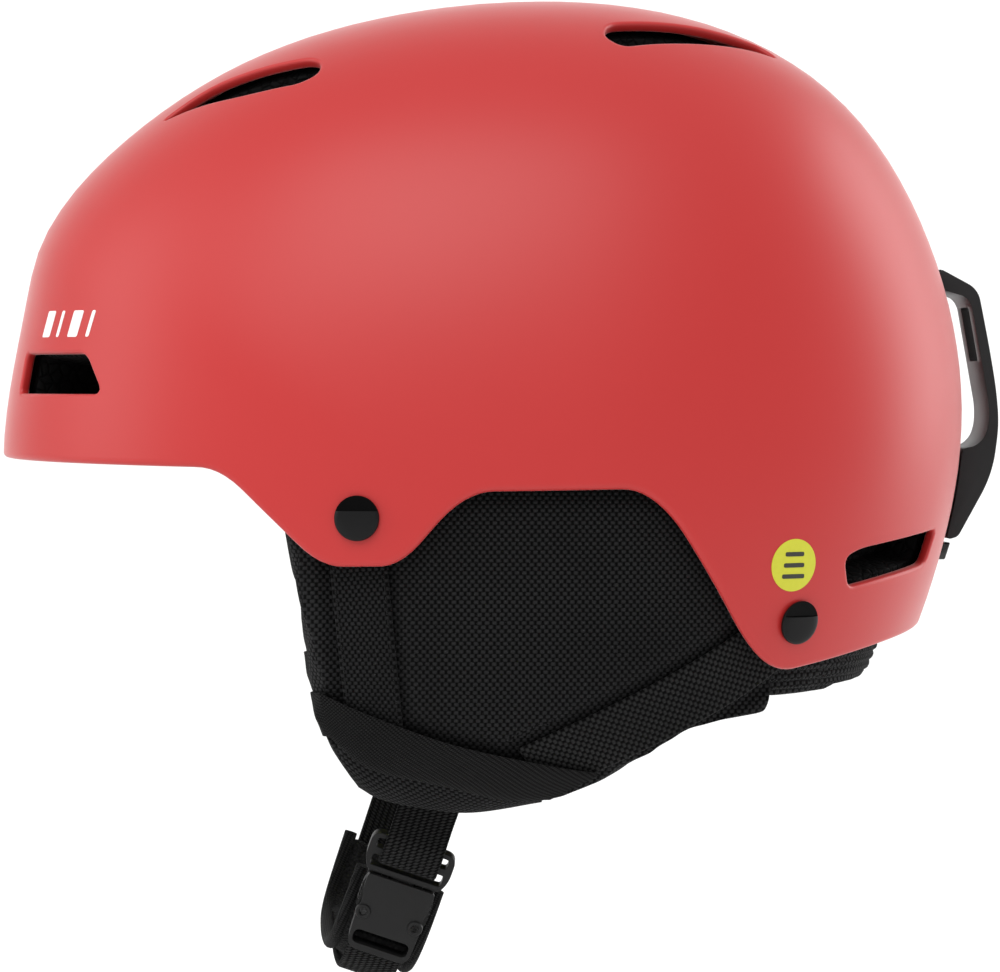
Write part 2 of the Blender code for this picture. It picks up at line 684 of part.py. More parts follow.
def add_buckle():
    black = (BLACK, 0.35)
    half = BUCKLE_DEPTH / 2
    body = ((-BUCKLE_HALF, BUCKLE_HALF), (BUCKLE_TOP, BUCKLE_BOTTOM), (-half, half))
    socket = frame_box("buckle_socket", body, LEG, black, RIGHT_PIVOT)
    edge = socket.modifiers.new("soft_edges", "BEVEL")
    edge.width = 0.6 * MM
    edge.segments = 1
    cuts = {
        "web_slot": ((-8.2, 8.2), (36.4, 40.0), (-5, 5)),
        "tongue_way": ((-4.0, 4.0), (18, 31), (-1.9, 1.9)),
        "front_tab_way": ((-13, -5.6), (18, 33.2), (-1.9, 1.9)),
        "rear_tab_way": ((5.6, 13), (18, 33.2), (-1.9, 1.9)),
    }
    for name, spans in cuts.items():
        cut(socket, frame_box(f"cut_{name}", spans, LEG))
    for across, word in ((-8.0, "front"), (8.0, "rear")):
        seat = LEG_START + ACROSS * across * 0.95 + LEG_DOWN * 30.6 + LEG_OUT * (half - 0.7)
        boss = rod(f"boss_{word}", seat, LEG_OUT, 1.9, 1.2, 14)
        cut(socket, boss, "UNION")

    frame = ((-FRAME_HALF, FRAME_HALF), (FRAME_TOP, FRAME_BOTTOM), (-2.1, 2.1))
    plug = frame_box("buckle_plug", frame, LEG, black, LEFT_PIVOT)
    edge = plug.modifiers.new("soft_edges", "BEVEL")
    edge.width = 0.7 * MM
    edge.segments = 1
    cut(plug, frame_box("tongue", ((-3.3, 3.3), (FRAME_BOTTOM - 1.5, 27.5), (-1.3, 1.3)), LEG), "UNION")
    openings = {"upper_window": (9.6, 12.4), "lower_window": (14.4, 17.6)}
    for name, span in openings.items():
        cut(plug, frame_box(f"cut_{name}", ((-10.3, 10.3), span, (-5, 5)), LEG))
    for side, word in ((-1, "front"), (1, "rear")):
        near = sorted((side * 7.7, side * 10.3))
        tab = frame_box(f"release_tab_{word}", (near, (20.6, 31.6), (-1.4, 1.4)), LEG, black)
        soft = tab.modifiers.new("soft_edges", "BEVEL")
        soft.width = 0.5 * MM
        soft.segments = 1


# ----------------------------------------------------------------- goggle clip
def add_goggle_clip(shell, foam):
    pin_middle = Vector((0, CLIP_PIN_Y, CLIP_PIN_Z))
    barrel = [(CLIP_PIN_Y + BARREL_RADIUS * math.cos(t), CLIP_PIN_Z + BARREL_RADIUS * math.sin(t))
              for t in np.radians((285, 255, 225, 195, 165, 135, 105, 75))]
    lower = [back_point(0, z, -0.9) for z in (-24.2, -16, -8, 2)]
    outline = [(129.8, 54.0), (140.2, 48.4), (142.0, 46.0), (147.0, 19.0), (147.9, 9.0),
               (146.0, -5.3), (136.0, -23.4)]
    outline += [(p.y, p.z) for p in lower]
    outline += [(141.2, 2.8), (143.7, 5.4), (144.9, 9.0), (145.0, 14.0), (139.8, 43.0),
                (138.2, 45.4), (130.9, 47.6)]
    outline += barrel
    clip = prism("goggle_clip", [(-CLIP_HALF, y, z) for y, z in outline], (2 * CLIP_HALF, 0, 0),
                 (BLACK, 0.5), pin_middle)
    cut(clip, box("cut_clip_slot", (-6.5, 132, 27), (6.5, 150, 42.5)))
    cut(clip, rod("cut_clip_bore", pin_middle - Vector((20, 0, 0)), (1, 0, 0), BORE_RADIUS, 40, 12))

    gap = CLIP_HALF + CLIP_PLAY
    half = gap + CHEEK
    cut(shell, box("cut_clip_window", (-half - 0.6, 120, 45.4), (half + 0.6, 140, 57.6)))
    cut(foam, box("cut_bracket_pocket", (-half - 1.6, 116, 43.4), (half + 1.6, 140, 59.6)))
    bracket = box("clip_bracket", (-half, 117.4, 46.4), (half, 128.8, 54.6), (BLACK, 0.5))
    cut(bracket, box("cut_cheek_gap", (-gap, 120.4, 40), (gap, 140, 70)))
    cut(bracket, rod("cut_cheek_bore", pin_middle - Vector((20, 0, 0)), (1, 0, 0), BORE_RADIUS, 40, 12))
    lathe("clip_pin", ((0, 0), (PIN_RADIUS, 0), (PIN_RADIUS, 2 * half - 0.4), (0, 2 * half - 0.4)),
          pin_middle - Vector((half - 0.2, 0, 0)), (1, 0, 0), (STEEL, 0.3, 1.0), 12)
    seat = [back_point(0, z, -0.5) for z in (-30.0, -25.2)]
    catch = [(seat[0].y, seat[0].z), (seat[1].y, seat[1].z), (134.6, -25.0), (132.6, -30.0)]
    prism("clip_catch", [(-9, y, z) for y, z in catch], (18, 0, 0), (BLACK, 0.25))


def main():
    for old in list(bpy.data.objects):
        bpy.data.objects.remove(old, do_unlink=True)
    shell, foam, liner = add_shells()
    add_slip_anchors(foam, liner)
    add_comfort_pads()
    add_fit_system()
    for side, word in ((1, "left"), (-1, "right")):
        add_ear_pad(side, word, shell)
    add_neck_roll()
    add_chin_strap()
    add_buckle()
    add_goggle_clip(shell, foam)


main()
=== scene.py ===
"""Ski helmet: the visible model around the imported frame. Sizes are in millimetres until a mesh is made."""

import math

import bmesh
import bpy
import numpy as np
from mathutils.bvhtree import BVHTree
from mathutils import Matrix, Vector, kdtree
from mathutils.geometry import delaunay_2d_cdt


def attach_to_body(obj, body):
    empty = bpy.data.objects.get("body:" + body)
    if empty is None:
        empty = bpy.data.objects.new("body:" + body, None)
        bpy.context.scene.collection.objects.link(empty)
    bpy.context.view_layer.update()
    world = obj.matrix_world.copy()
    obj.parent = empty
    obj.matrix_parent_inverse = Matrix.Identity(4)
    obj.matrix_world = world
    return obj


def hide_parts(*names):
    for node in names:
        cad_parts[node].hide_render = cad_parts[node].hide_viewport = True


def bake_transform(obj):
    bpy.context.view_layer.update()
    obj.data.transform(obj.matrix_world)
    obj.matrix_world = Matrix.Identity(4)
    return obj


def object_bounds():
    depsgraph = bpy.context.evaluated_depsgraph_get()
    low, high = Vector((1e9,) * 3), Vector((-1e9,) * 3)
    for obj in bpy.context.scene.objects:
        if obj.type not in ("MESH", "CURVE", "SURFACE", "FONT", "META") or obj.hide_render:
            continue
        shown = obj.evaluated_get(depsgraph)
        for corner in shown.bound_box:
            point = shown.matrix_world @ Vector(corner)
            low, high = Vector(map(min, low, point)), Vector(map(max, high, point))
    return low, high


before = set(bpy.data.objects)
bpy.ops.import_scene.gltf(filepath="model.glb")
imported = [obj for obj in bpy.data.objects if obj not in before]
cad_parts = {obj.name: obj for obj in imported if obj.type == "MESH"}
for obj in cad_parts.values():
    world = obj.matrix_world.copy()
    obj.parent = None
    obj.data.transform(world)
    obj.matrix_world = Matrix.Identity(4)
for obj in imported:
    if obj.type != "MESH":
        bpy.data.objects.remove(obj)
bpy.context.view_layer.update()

MM = 0.001
CENTRE = np.array((0.0, 10.0, -25.0))
HALF_WIDTH = 108.0
FULLNESS = 2.25
PROFILE = (
    (-136.6, 0.0), (-130.2, 43.0), (-126.4, 58.5), (-119.5, 71.0), (-102.0, 89.5),
    (-67.0, 112.4), (-24.0, 125.8), (17.0, 129.7), (62.5, 123.8), (101.0, 102.5),
    (126.0, 65.0), (137.0, 14.0), (130.5, -29.0), (118.0, -62.0), (94.0, -94.0),
    (53.0, -117.0), (0.0, -126.0), (-55.0, -116.0), (-100.0, -85.0), (-128.0, -42.0),
)
SHELL_RIM = (
    (0, 0.0, 0), (47.3, -1.5, 3.0), (60.0, -27.6, 2.8), (70.4, -27.3, 2.8), (79.1, -7.6, 4.0),
    (105.7, -6.9, 4.5), (123.2, -58.0, 6.0), (153.5, -49.0, 14.0), (180, -47.0, 0),
)
FOAM_RIM = ((0, 2.0, 0), (51, 4.5, 4.0), (130.5, 4.5, 2.0), (135, -38.0, 2.2), (180, -42.0, 0))
LINER_RIM = ((0, 4.0, 0), (60, 7.0, 10.0), (120, 7.0, 10.0), (180, -4.0, 0))
SHELL_WALL = 2.8
FOAM_LAYER = (4.8, 26.0)
LINER_LAYER = (28.8, 30.0)
BAND_LAYER = (3.4, 4.6)
STRAP_LAYER = (5.5, 6.7)

SIDES = {"left": 1, "right": -1}
HANG_ANGLE = math.radians(19.0)
LEG_LEAN = math.radians(13.6)
ACROSS = np.array((0, math.cos(HANG_ANGLE), -math.sin(HANG_ANGLE)))
DOWN = np.array((0, -math.sin(HANG_ANGLE), -math.cos(HANG_ANGLE)))
SIDEWAYS = np.array((1.0, 0, 0))
HANG = np.array((0, -18.9, -97.0))
LEG_DOWN = DOWN * math.cos(LEG_LEAN) - SIDEWAYS * math.sin(LEG_LEAN)
LEG_OUT = SIDEWAYS * math.cos(LEG_LEAN) + DOWN * math.sin(LEG_LEAN)
LEG_START = HANG + SIDEWAYS * 64.0


# ---------------------------------------------------------------- the form
def lengths_along(line):
    """Length from a line's start to each of its points."""
    steps = np.linalg.norm(np.diff(line, axis=0), axis=1)
    return np.concatenate([[0], np.cumsum(steps)])


def unit(vectors):
    return vectors / np.linalg.norm(vectors, axis=-1, keepdims=True)


def polar_profile():
    points = np.array(PROFILE) - CENTRE[1:]
    turns = np.arctan2(points[:, 1], points[:, 0])
    order = np.argsort(turns)
    return turns[order], np.hypot(points[:, 0], points[:, 1])[order]


TURNS, RADII = polar_profile()
STEPS = np.diff(np.append(TURNS, TURNS[0] + math.tau))


def profile_bends():
    count = len(TURNS)
    matrix = np.zeros((count, count))
    target = np.zeros(count)
    for i in range(count):
        after = (i + 1) % count
        matrix[i, i - 1] += STEPS[i - 1]
        matrix[i, i] += 2 * (STEPS[i - 1] + STEPS[i])
        matrix[i, after] += STEPS[i]
        target[i] = 6 * ((RADII[after] - RADII[i]) / STEPS[i] - (RADII[i] - RADII[i - 1]) / STEPS[i - 1])
    return np.linalg.solve(matrix, target)


BENDS = profile_bends()


def profile_radius(turn):
    turn = (turn - TURNS[0]) % math.tau + TURNS[0]
    i = np.clip(np.searchsorted(TURNS, turn, side="right") - 1, 0, len(TURNS) - 1)
    j = (i + 1) % len(TURNS)
    step = STEPS[i]
    a = (TURNS[i] + step - turn) / step
    b = 1 - a
    bend = ((a ** 3 - a) * BENDS[i] + (b ** 3 - b) * BENDS[j]) * step * step / 6
    return a * RADII[i] + b * RADII[j] + bend


def form(points, inset=0.0):
    """Below 1 inside the form made smaller by inset, 1 on it."""
    offset = points - CENTRE
    turn = np.arctan2(offset[..., 2], offset[..., 1])
    reach = np.hypot(offset[..., 1], offset[..., 2]) / (profile_radius(turn) - inset)
    return reach ** FULLNESS + (np.abs(points[..., 0]) / (HALF_WIDTH - inset)) ** FULLNESS


def march(start, direction, inset=0.0, reach=220.0):
    """Where rays from inside meet the form."""
    start, direction = np.broadcast_arrays(np.asarray(start, float), np.asarray(direction, float))
    near = np.zeros(start.shape[:-1])
    far = np.full(start.shape[:-1], reach)
    for _ in range(34):
        middle = (near + far) / 2
        inside = form(start + direction * middle[..., None], inset) < 1
        near = np.where(inside, middle, near)
        far = np.where(inside, far, middle)
    return start + direction * near[..., None]


def wall_point(turn, height, inset):
    turn = np.asarray(turn, float)
    start = np.stack([np.zeros_like(turn), np.full_like(turn, CENTRE[1]), height + 0 * turn], -1)
    direction = np.stack([np.sin(turn), -np.cos(turn), 0 * turn], -1)
    return march(start, direction, inset)


def side_point(y, z, inset, side):
    y, z = np.broadcast_arrays(np.asarray(y, float), np.asarray(z, float))
    return march(np.stack([0 * y, y, z], -1), (side, 0.0, 0.0), inset)


def top_point(x, y, inset):
    x, y = np.broadcast_arrays(np.asarray(x, float), np.asarray(y, float))
    return march(np.stack([x, y, 0 * x + CENTRE[2]], -1), (0.0, 0.0, 1.0), inset)


def back_point(x, z, inset):
    x, z = np.broadcast_arrays(np.asarray(x, float), np.asarray(z, float))
    return march(np.stack([x, 0 * x + CENTRE[1], z], -1), (0.0, 1.0, 0.0), inset)


def normals(points, inset=0.0):
    step = 0.4
    slope = [form(points + axis * step, inset) - form(points - axis * step, inset) for axis in np.eye(3)]
    return unit(np.stack(slope, -1))


def settle(points, directions, inset):
    """Moves points along directions onto the form at one inset."""
    return march(points - directions * 40, directions, inset, 80.0)


def edge_height(rim, degrees):
    """Height of a lower edge: straight runs between corners, each corner rounded."""
    degrees = abs((degrees + 180) % 360 - 180)
    for before, corner, after in zip(rim, rim[1:], rim[2:]):
        here, height, reach = corner
        if abs(degrees - here) < reach:
            start = height + (before[1] - height) * reach / (here - before[0])
            end = height + (after[1] - height) * reach / (after[0] - here)
            t = (degrees - here + reach) / (2 * reach)
            return (1 - t) ** 2 * start + 2 * t * (1 - t) * height + t ** 2 * end
    return float(np.interp(degrees, [c[0] for c in rim], [c[1] for c in rim]))


# ------------------------------------------------------------------ meshes
def attach(piece, body, slot, *nodes):
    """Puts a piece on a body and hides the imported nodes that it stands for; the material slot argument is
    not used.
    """
    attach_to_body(piece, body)
    if nodes:
        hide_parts(*nodes)


def make(name, points, faces, look, smooth=35.0):
    mesh = bpy.data.meshes.new(name)
    mesh.from_pydata([tuple(p) for p in np.asarray(points) * MM], [], [tuple(f) for f in faces])
    shape = bmesh.new()
    shape.from_mesh(mesh)
    bmesh.ops.remove_doubles(shape, verts=shape.verts[:], dist=1e-7)
    bmesh.ops.recalc_face_normals(shape, faces=shape.faces[:])
    shape.to_mesh(mesh)
    shape.free()
    piece = bpy.data.objects.new(name, mesh)
    bpy.context.scene.collection.objects.link(piece)
    if look is not None:
        mesh.materials.append(look)
    if smooth:
        mesh.shade_smooth()
        mesh.set_sharp_from_angle(angle=math.radians(smooth))
    return piece


def bake(piece, smooth=35.0):
    """Replaces a piece's mesh by the result of its modifiers."""
    graph = bpy.context.evaluated_depsgraph_get()
    mesh = bpy.data.meshes.new_from_object(piece.evaluated_get(graph))
    piece.modifiers.clear()
    piece.data = mesh
    if smooth:
        mesh.shade_smooth()
        mesh.set_sharp_from_angle(angle=math.radians(smooth))
    return piece


def carve(piece, cutters, operation="DIFFERENCE"):
    for cutter in cutters:
        step = piece.modifiers.new("carve", "BOOLEAN")
        step.object = cutter
        step.operation = operation
        step.solver = "EXACT"
    bake(piece)
    for cutter in cutters:
        bpy.data.objects.remove(cutter)
    return piece


def soften(piece, width, segments=3, angle=30.0):
    """Rounds the sharp edges of a piece."""
    bevel = piece.modifiers.new("soft", "BEVEL")
    bevel.width = width * MM
    bevel.segments = segments
    bevel.limit_method = "ANGLE"
    bevel.angle_limit = math.radians(angle)
    return bake(piece, 40.0)


def uv_by_box(piece):
    """Flat coordinates in metres for weaves, by the direction that each face looks in."""
    mesh = piece.data
    layer = mesh.uv_layers.new(name="weave") if not mesh.uv_layers else mesh.uv_layers[0]
    for face in mesh.polygons:
        n = face.normal
        axis = max(range(3), key=lambda i: abs(n[i]) * (1.15 if i == 0 else 1.0))
        for loop in face.loop_indices:
            p = mesh.vertices[mesh.loops[loop].vertex_index].co
            layer.data[loop].uv = ((p.y, p.z), (p.x, p.z), (p.x, p.y))[axis]


def rounded(corners, reach, step=1.0):
    """Closed flat outline with each corner rounded, sampled about every step."""
    corners = np.asarray(corners, float)
    count = len(corners)
    reach = [reach] * count if np.isscalar(reach) else reach
    line = []
    for i in range(count):
        here, before, after = corners[i], corners[i - 1], corners[(i + 1) % count]
        back, on = before - here, after - here
        size = min(reach[i], 0.47 * np.linalg.norm(back), 0.47 * np.linalg.norm(on))
        a, b = here + unit(back) * size, here + unit(on) * size
        t = np.linspace(0, 1, 9)[:, None]
        line.append((1 - t) ** 2 * a + 2 * t * (1 - t) * here + t ** 2 * b)
    line = np.concatenate(line)
    closed = np.vstack([line, line[:1]])
    along = lengths_along(closed)
    places = np.linspace(0, along[-1], max(8, round(along[-1] / step)), endpoint=False)
    return np.stack([np.interp(places, along, closed[:, k]) for k in range(closed.shape[1])], -1)


def smooth_curve(points, count):
    """Points at even steps of length on a Catmull-Rom curve."""
    nodes = np.asarray(points, float)
    chain = np.vstack([nodes[0] * 2 - nodes[1], nodes, nodes[-1] * 2 - nodes[-2]])
    dense = []
    for i in range(len(nodes) - 1):
        p0, p1, p2, p3 = chain[i:i + 4]
        t = np.linspace(0, 1, 24, endpoint=False)[:, None]
        dense.append(0.5 * (2 * p1 + (p2 - p0) * t + (2 * p0 - 5 * p1 + 4 * p2 - p3) * t * t
                            + (3 * p1 - p0 - 3 * p2 + p3) * t ** 3))
    dense = np.vstack(dense + [nodes[-1:]])
    along = lengths_along(dense)
    places = np.linspace(0, along[-1], count)
    return np.stack([np.interp(places, along, dense[:, k]) for k in range(dense.shape[1])], -1)


def prism(name, outline, shift, look=None, smooth=0.0):
    outline = np.asarray(outline, float)
    count = len(outline)
    points = np.vstack([outline, outline + np.asarray(shift, float)])
    faces = [tuple(range(count)), tuple(range(2 * count - 1, count - 1, -1))]
    faces += [(i, (i + 1) % count, count + (i + 1) % count, count + i) for i in range(count)]
    return make(name, points, faces, look, smooth)


def ring_faces(rows, sides, closed=False):
    """Faces between rings of points that follow each other, with flat ends unless the rings close up."""
    faces = []
    for r in range(rows if closed else rows - 1):
        s = (r + 1) % rows
        faces += [(r * sides + i, r * sides + (i + 1) % sides, s * sides + (i + 1) % sides, s * sides + i)
                  for i in range(sides)]
    if not closed:
        faces += [tuple(range(sides)), tuple(range((rows - 1) * sides, rows * sides))]
    return faces


def lathe(name, outline, base, axis, look, sides=48, closed=False):
    axis = unit(np.asarray(axis, float))
    helper = np.eye(3)[int(np.argmin(np.abs(axis)))]
    across = unit(np.cross(axis, helper))
    other = np.cross(axis, across)
    angles = np.linspace(0, math.tau, sides, endpoint=False)
    ring = across * np.cos(angles)[:, None] + other * np.sin(angles)[:, None]
    base = np.asarray(base, float)
    points = [base + axis * along + ring * max(radius, 1e-6) for radius, along in outline]
    return make(name, np.vstack(points), ring_faces(len(outline), sides, closed), look)


def tube(name, line, radius, look, sides):
    """Round bar along a line of points."""
    ahead = np.roll(line, -1, 0) - np.roll(line, 1, 0)
    ahead[0], ahead[-1] = line[1] - line[0], line[-1] - line[-2]
    along = unit(ahead)
    across = np.zeros_like(along)
    across[0] = unit(np.cross(along[0], np.eye(3)[int(np.argmin(np.abs(along[0])))]))
    for i in range(1, len(line)):
        across[i] = unit(across[i - 1] - along[i] * (across[i - 1] @ along[i]))
    other = np.cross(along, across)
    angles = np.linspace(0, math.tau, sides, endpoint=False)
    rings = [line[i] + (across[i] * np.cos(angles)[:, None] + other[i] * np.sin(angles)[:, None]) * radius
             for i in range(len(line))]
    return make(name, np.vstack(rings), ring_faces(len(line), sides), look)


def band_section(width, thick):
    """Closed cross section of webbing as (across, up, share across): flat faces with rolled edges."""
    half, round_ = width / 2, thick / 2
    flat = np.linspace(-half + round_, half - round_, 9)
    turn = np.linspace(-90, 90, 5)[1:-1]
    top = [(a, round_) for a in flat]
    right = [(half - round_ + round_ * math.cos(math.radians(t)), -round_ * math.sin(math.radians(t)))
             for t in turn]
    bottom = [(a, -round_) for a in flat[::-1]]
    left = [(-a, -b) for a, b in right]
    return np.array(top + right + bottom + left)


def webbing(name, line, across, out, width, thick, look, taper=None):
    """Flat strap: a section carried along a line, with coordinates in metres for its weave."""
    shape = band_section(width, thick)
    count, sides = len(line), len(shape)
    widths = np.ones(count) if taper is None else taper
    points = (line[:, None] + across[:, None] * (shape[:, 0] * widths[:, None])[..., None]
              + out[:, None] * shape[:, 1][None, :, None])
    piece = make(name, points.reshape(-1, 3), ring_faces(count, sides), look, 50.0)
    length = lengths_along(line)
    layer = piece.data.uv_layers.new(name="weave")
    sides_at = np.tile(shape[:, 0], count)
    for loop in piece.data.loops:
        i = loop.vertex_index
        layer.data[loop.index].uv = (sides_at[i] * MM, length[i // sides] * MM)
    return piece


def on_side(path, side, inset, stations):
    """Line on the form's side, with its across and outward directions."""
    flat = smooth_curve(path, stations)
    line = side_point(flat[:, 0], flat[:, 1], inset, side)
    out = normals(line, inset)
    along = unit(np.gradient(line, axis=0))
    return line, unit(np.cross(out, along)), out


# --------------------------------------------------------------- materials
class Look:
    """A node material built step by step."""

    def __init__(self, name, colour, roughness, **sockets):
        self.material = bpy.data.materials.new(name)
        self.material.use_nodes = True
        self.tree = self.material.node_tree
        self.shader = self.tree.nodes["Principled BSDF"]
        self.shader.inputs["Base Color"].default_value = (*colour, 1)
        self.shader.inputs["Roughness"].default_value = roughness
        for key, value in sockets.items():
            self.shader.inputs[key.replace("_", " ")].default_value = value

    def node(self, kind, **values):
        made = self.tree.nodes.new(kind)
        for key, value in values.items():
            if hasattr(made, key):
                setattr(made, key, value)
            else:
                made.inputs[key.replace("_", " ")].default_value = value
        return made

    def link(self, source, target):
        self.tree.links.new(source, target)

    def math(self, operation, a, b=None, c=None, clamp=False):
        """Output of a maths node; a, b and c are numbers or sockets."""
        made = self.tree.nodes.new("ShaderNodeMath")
        made.operation = operation
        made.use_clamp = clamp
        for socket, value in zip(made.inputs, (a, b, c)):
            if value is None:
                continue
            if isinstance(value, (int, float)):
                socket.default_value = value
            else:
                self.link(value, socket)
        return made.outputs[0]

    def noise(self, scale, detail=2.0, vector=None, roughness=0.5):
        made = self.node("ShaderNodeTexNoise", Scale=scale, Detail=detail, Roughness=roughness)
        self.link(vector or self.place(), made.inputs["Vector"])
        return made.outputs["Fac"]

    def place(self):
        if not hasattr(self, "_place"):
            self._place = self.node("ShaderNodeTexCoord").outputs["Object"]
        return self._place

    def flat(self):
        """Weave coordinates in millimetres as two sockets."""
        if not hasattr(self, "_flat"):
            uv = self.node("ShaderNodeUVMap", uv_map="weave").outputs["UV"]
            split = self.tree.nodes.new("ShaderNodeSeparateXYZ")
            self.link(uv, split.inputs[0])
            self._flat = (self.math("MULTIPLY", split.outputs[0], 1000.0),
                          self.math("MULTIPLY", split.outputs[1], 1000.0))
        return self._flat

    def mix(self, share, low, high):
        made = self.node("ShaderNodeMix", data_type="RGBA")
        self.link(share, made.inputs["Factor"])
        made.inputs["A"].default_value = (*low, 1)
        made.inputs["B"].default_value = (*high, 1)
        return made.outputs["Result"]

    def colour(self, share, low, high):
        self.link(self.mix(share, low, high), self.shader.inputs["Base Color"])

    def rough(self, share, low, high):
        self.link(self.math("MULTIPLY_ADD", share, high - low, low), self.shader.inputs["Roughness"])

    def bump(self, height, distance, strength=1.0):
        made = self.node("ShaderNodeBump", Strength=strength, Distance=distance)
        self.link(height, made.inputs["Height"])
        if self.shader.inputs["Normal"].is_linked:
            self.link(self.shader.inputs["Normal"].links[0].from_socket, made.inputs["Normal"])
        self.link(made.outputs[0], self.shader.inputs["Normal"])


def knuckles(look, wide, tall, skew=0.0, wobble=0.16):
    """Height from 0 to 1 of a plain weave whose raised threads stand in staggered rows."""
    u, v = look.flat()
    drift = look.math("MULTIPLY", look.math("SUBTRACT", look.noise(260.0, 2.0), 0.5), wobble * 6)
    slide = look.math("MULTIPLY_ADD", v, skew, u)
    a = look.math("SINE", look.math("ADD", look.math("MULTIPLY", slide, math.tau / wide), drift))
    b = look.math("SINE", look.math("ADD", look.math("MULTIPLY", v, math.tau / tall), drift))
    row = look.math("POWER", look.math("ABSOLUTE", b), 0.5)
    staggered = look.math("MULTIPLY", a, look.math("SIGN", b))
    knuckle = look.math("MULTIPLY_ADD", staggered, 0.9, 0.62, clamp=True)
    return look.math("MULTIPLY", row, look.math("POWER", knuckle, 0.7), clamp=True)


# dark is the painted shade colour of the gaps between threads, light the painted highlight colour of the
# raised knuckles.
def cloth_look(name, wide, tall, dark, light, depth, skew=0.0, fuzz=0.35, wobble=0.16, second=None):
    look = Look(name, light, 0.85, Sheen_Weight=0.02, Sheen_Roughness=0.45, Specular_IOR_Level=0.08)
    height = knuckles(look, wide, tall, skew, wobble)
    if second is not None:
        height = look.math("MULTIPLY", height, look.math("MULTIPLY_ADD", knuckles(look, *second), 0.6, 0.4))
    hairs = look.noise(2600.0, 3.0)
    patches = look.noise(38.0, 3.0)
    # Colour follows the weave's height: raised knuckles painted lighter (painted highlight), gaps between
    # threads painted darker (painted shade); patches and hairs add real tone.
    knuckle_light_and_tone = look.math("MULTIPLY", height, look.math("MULTIPLY_ADD", patches, 0.9, 0.55), clamp=True)
    knuckle_light_and_tone = look.math("MULTIPLY_ADD", look.math("SUBTRACT", hairs, 0.5), fuzz, knuckle_light_and_tone, clamp=True)
    look.colour(knuckle_light_and_tone, dark, light)
    look.rough(height, 0.95, 0.72)
    look.bump(height, depth * MM)
    look.bump(hairs, 0.12 * MM, 0.5)
    return look.material


def plastic_look(name, dark, light, rough, grain=1900.0, depth=0.03, **sockets):
    """Moulded plastic: fine grain, slight patches and faint scuffs."""
    look = Look(name, light, rough[0], **sockets)
    patches = look.noise(60.0, 4.0)
    grains = look.noise(grain, 2.0)
    scuffs = look.math("GREATER_THAN", look.noise(420.0, 6.0, roughness=0.7), 0.66)
    look.colour(patches, dark, light)
    look.rough(look.math("ADD", patches, look.math("MULTIPLY", scuffs, 0.18)), *rough)
    look.bump(grains, depth * MM, 0.6)
    return look.material


def shell_look():
    """Satin paint over the shell: fine orange peel and very slight patches."""
    look = Look("shell_paint", (0.41, 0.017, 0.016), 0.44, Sheen_Weight=0.34, Sheen_Roughness=0.28,
                Specular_IOR_Level=0.42)
    look.shader.inputs["Sheen Tint"].default_value = (1.0, 0.86, 0.84, 1)
    patches = look.noise(9.0, 3.0)
    peel = look.noise(1500.0, 2.0)
    flecks = look.noise(5200.0, 1.0)
    look.colour(look.math("MULTIPLY_ADD", flecks, 0.4, look.math("MULTIPLY", patches, 0.6)),
                (0.390, 0.0145, 0.0135), (0.440, 0.0185, 0.0175))
    look.rough(look.math("ADD", look.math("MULTIPLY", patches, 0.5), look.math("MULTIPLY", flecks, 0.5)),
               0.36, 0.50)
    look.bump(peel, 0.012 * MM, 0.7)
    return look.material


def foam_look():
    """Moulded bead foam: rounded cells with dark joints."""
    look = Look("bead_foam", (0.004, 0.004, 0.004), 0.9, Specular_IOR_Level=0.1)
    cells = look.node("ShaderNodeTexVoronoi", Scale=330.0, feature="DISTANCE_TO_EDGE")
    look.link(look.place(), cells.inputs["Vector"])
    edge = look.math("MULTIPLY", cells.outputs["Distance"], 6.0, clamp=True)
    look.colour(edge, (0.0015, 0.0015, 0.0016), (0.0050, 0.0050, 0.0053))
    look.rough(edge, 0.95, 0.7)
    look.bump(edge, 0.25 * MM)
    return look.material


def steel_look():
    look = Look("zinc_steel", (0.5, 0.5, 0.51), 0.35, Metallic=1.0)
    lines = look.noise(900.0, 4.0)
    look.colour(lines, (0.42, 0.42, 0.43), (0.6, 0.6, 0.61))
    look.rough(lines, 0.25, 0.45)
    look.bump(lines, 0.01 * MM)
    return look.material


def fleece_look():
    """Short brushed pile: tight curls, coloured lighter on the raised tufts as painted highlight and darker
    between them as painted shade.
    """
    look = Look("fleece", (0.01, 0.01, 0.01), 0.95,
                Sheen_Weight=0.05, Sheen_Roughness=0.6, Specular_IOR_Level=0.08)
    curls = look.node("ShaderNodeTexVoronoi", Scale=1250.0, feature="F1")
    look.link(look.place(), curls.inputs["Vector"])
    lumps = look.noise(900.0, 5.0, roughness=0.7)
    tips = look.math("MULTIPLY_ADD", curls.outputs["Distance"], -0.9,
                     look.math("MULTIPLY", lumps, 1.5), clamp=True)
    # Painted highlight on the raised tufts and painted shade between them: the colour follows the bump's
    # height.
    look.colour(tips, (0.0008, 0.0008, 0.0008), (0.0150, 0.0150, 0.0155))
    look.rough(tips, 1.0, 0.85)
    look.bump(tips, 0.5 * MM)
    return look.material


def film_look():
    look = Look("liner_film", (0.55, 0.60, 0.06), 0.3, Specular_IOR_Level=0.5)
    waves = look.noise(45.0, 3.0)
    look.colour(waves, (0.46, 0.52, 0.04), (0.60, 0.66, 0.08))
    look.rough(waves, 0.22, 0.4)
    look.bump(look.noise(1500.0), 0.02 * MM, 0.6)
    return look.material


def print_look(name, dark, light):
    look = Look(name, light, 0.4)
    look.colour(look.noise(700.0, 3.0), dark, light)
    look.rough(look.noise(90.0, 2.0), 0.34, 0.5)
    look.bump(look.noise(2400.0), 0.01 * MM, 0.5)
    return look.material


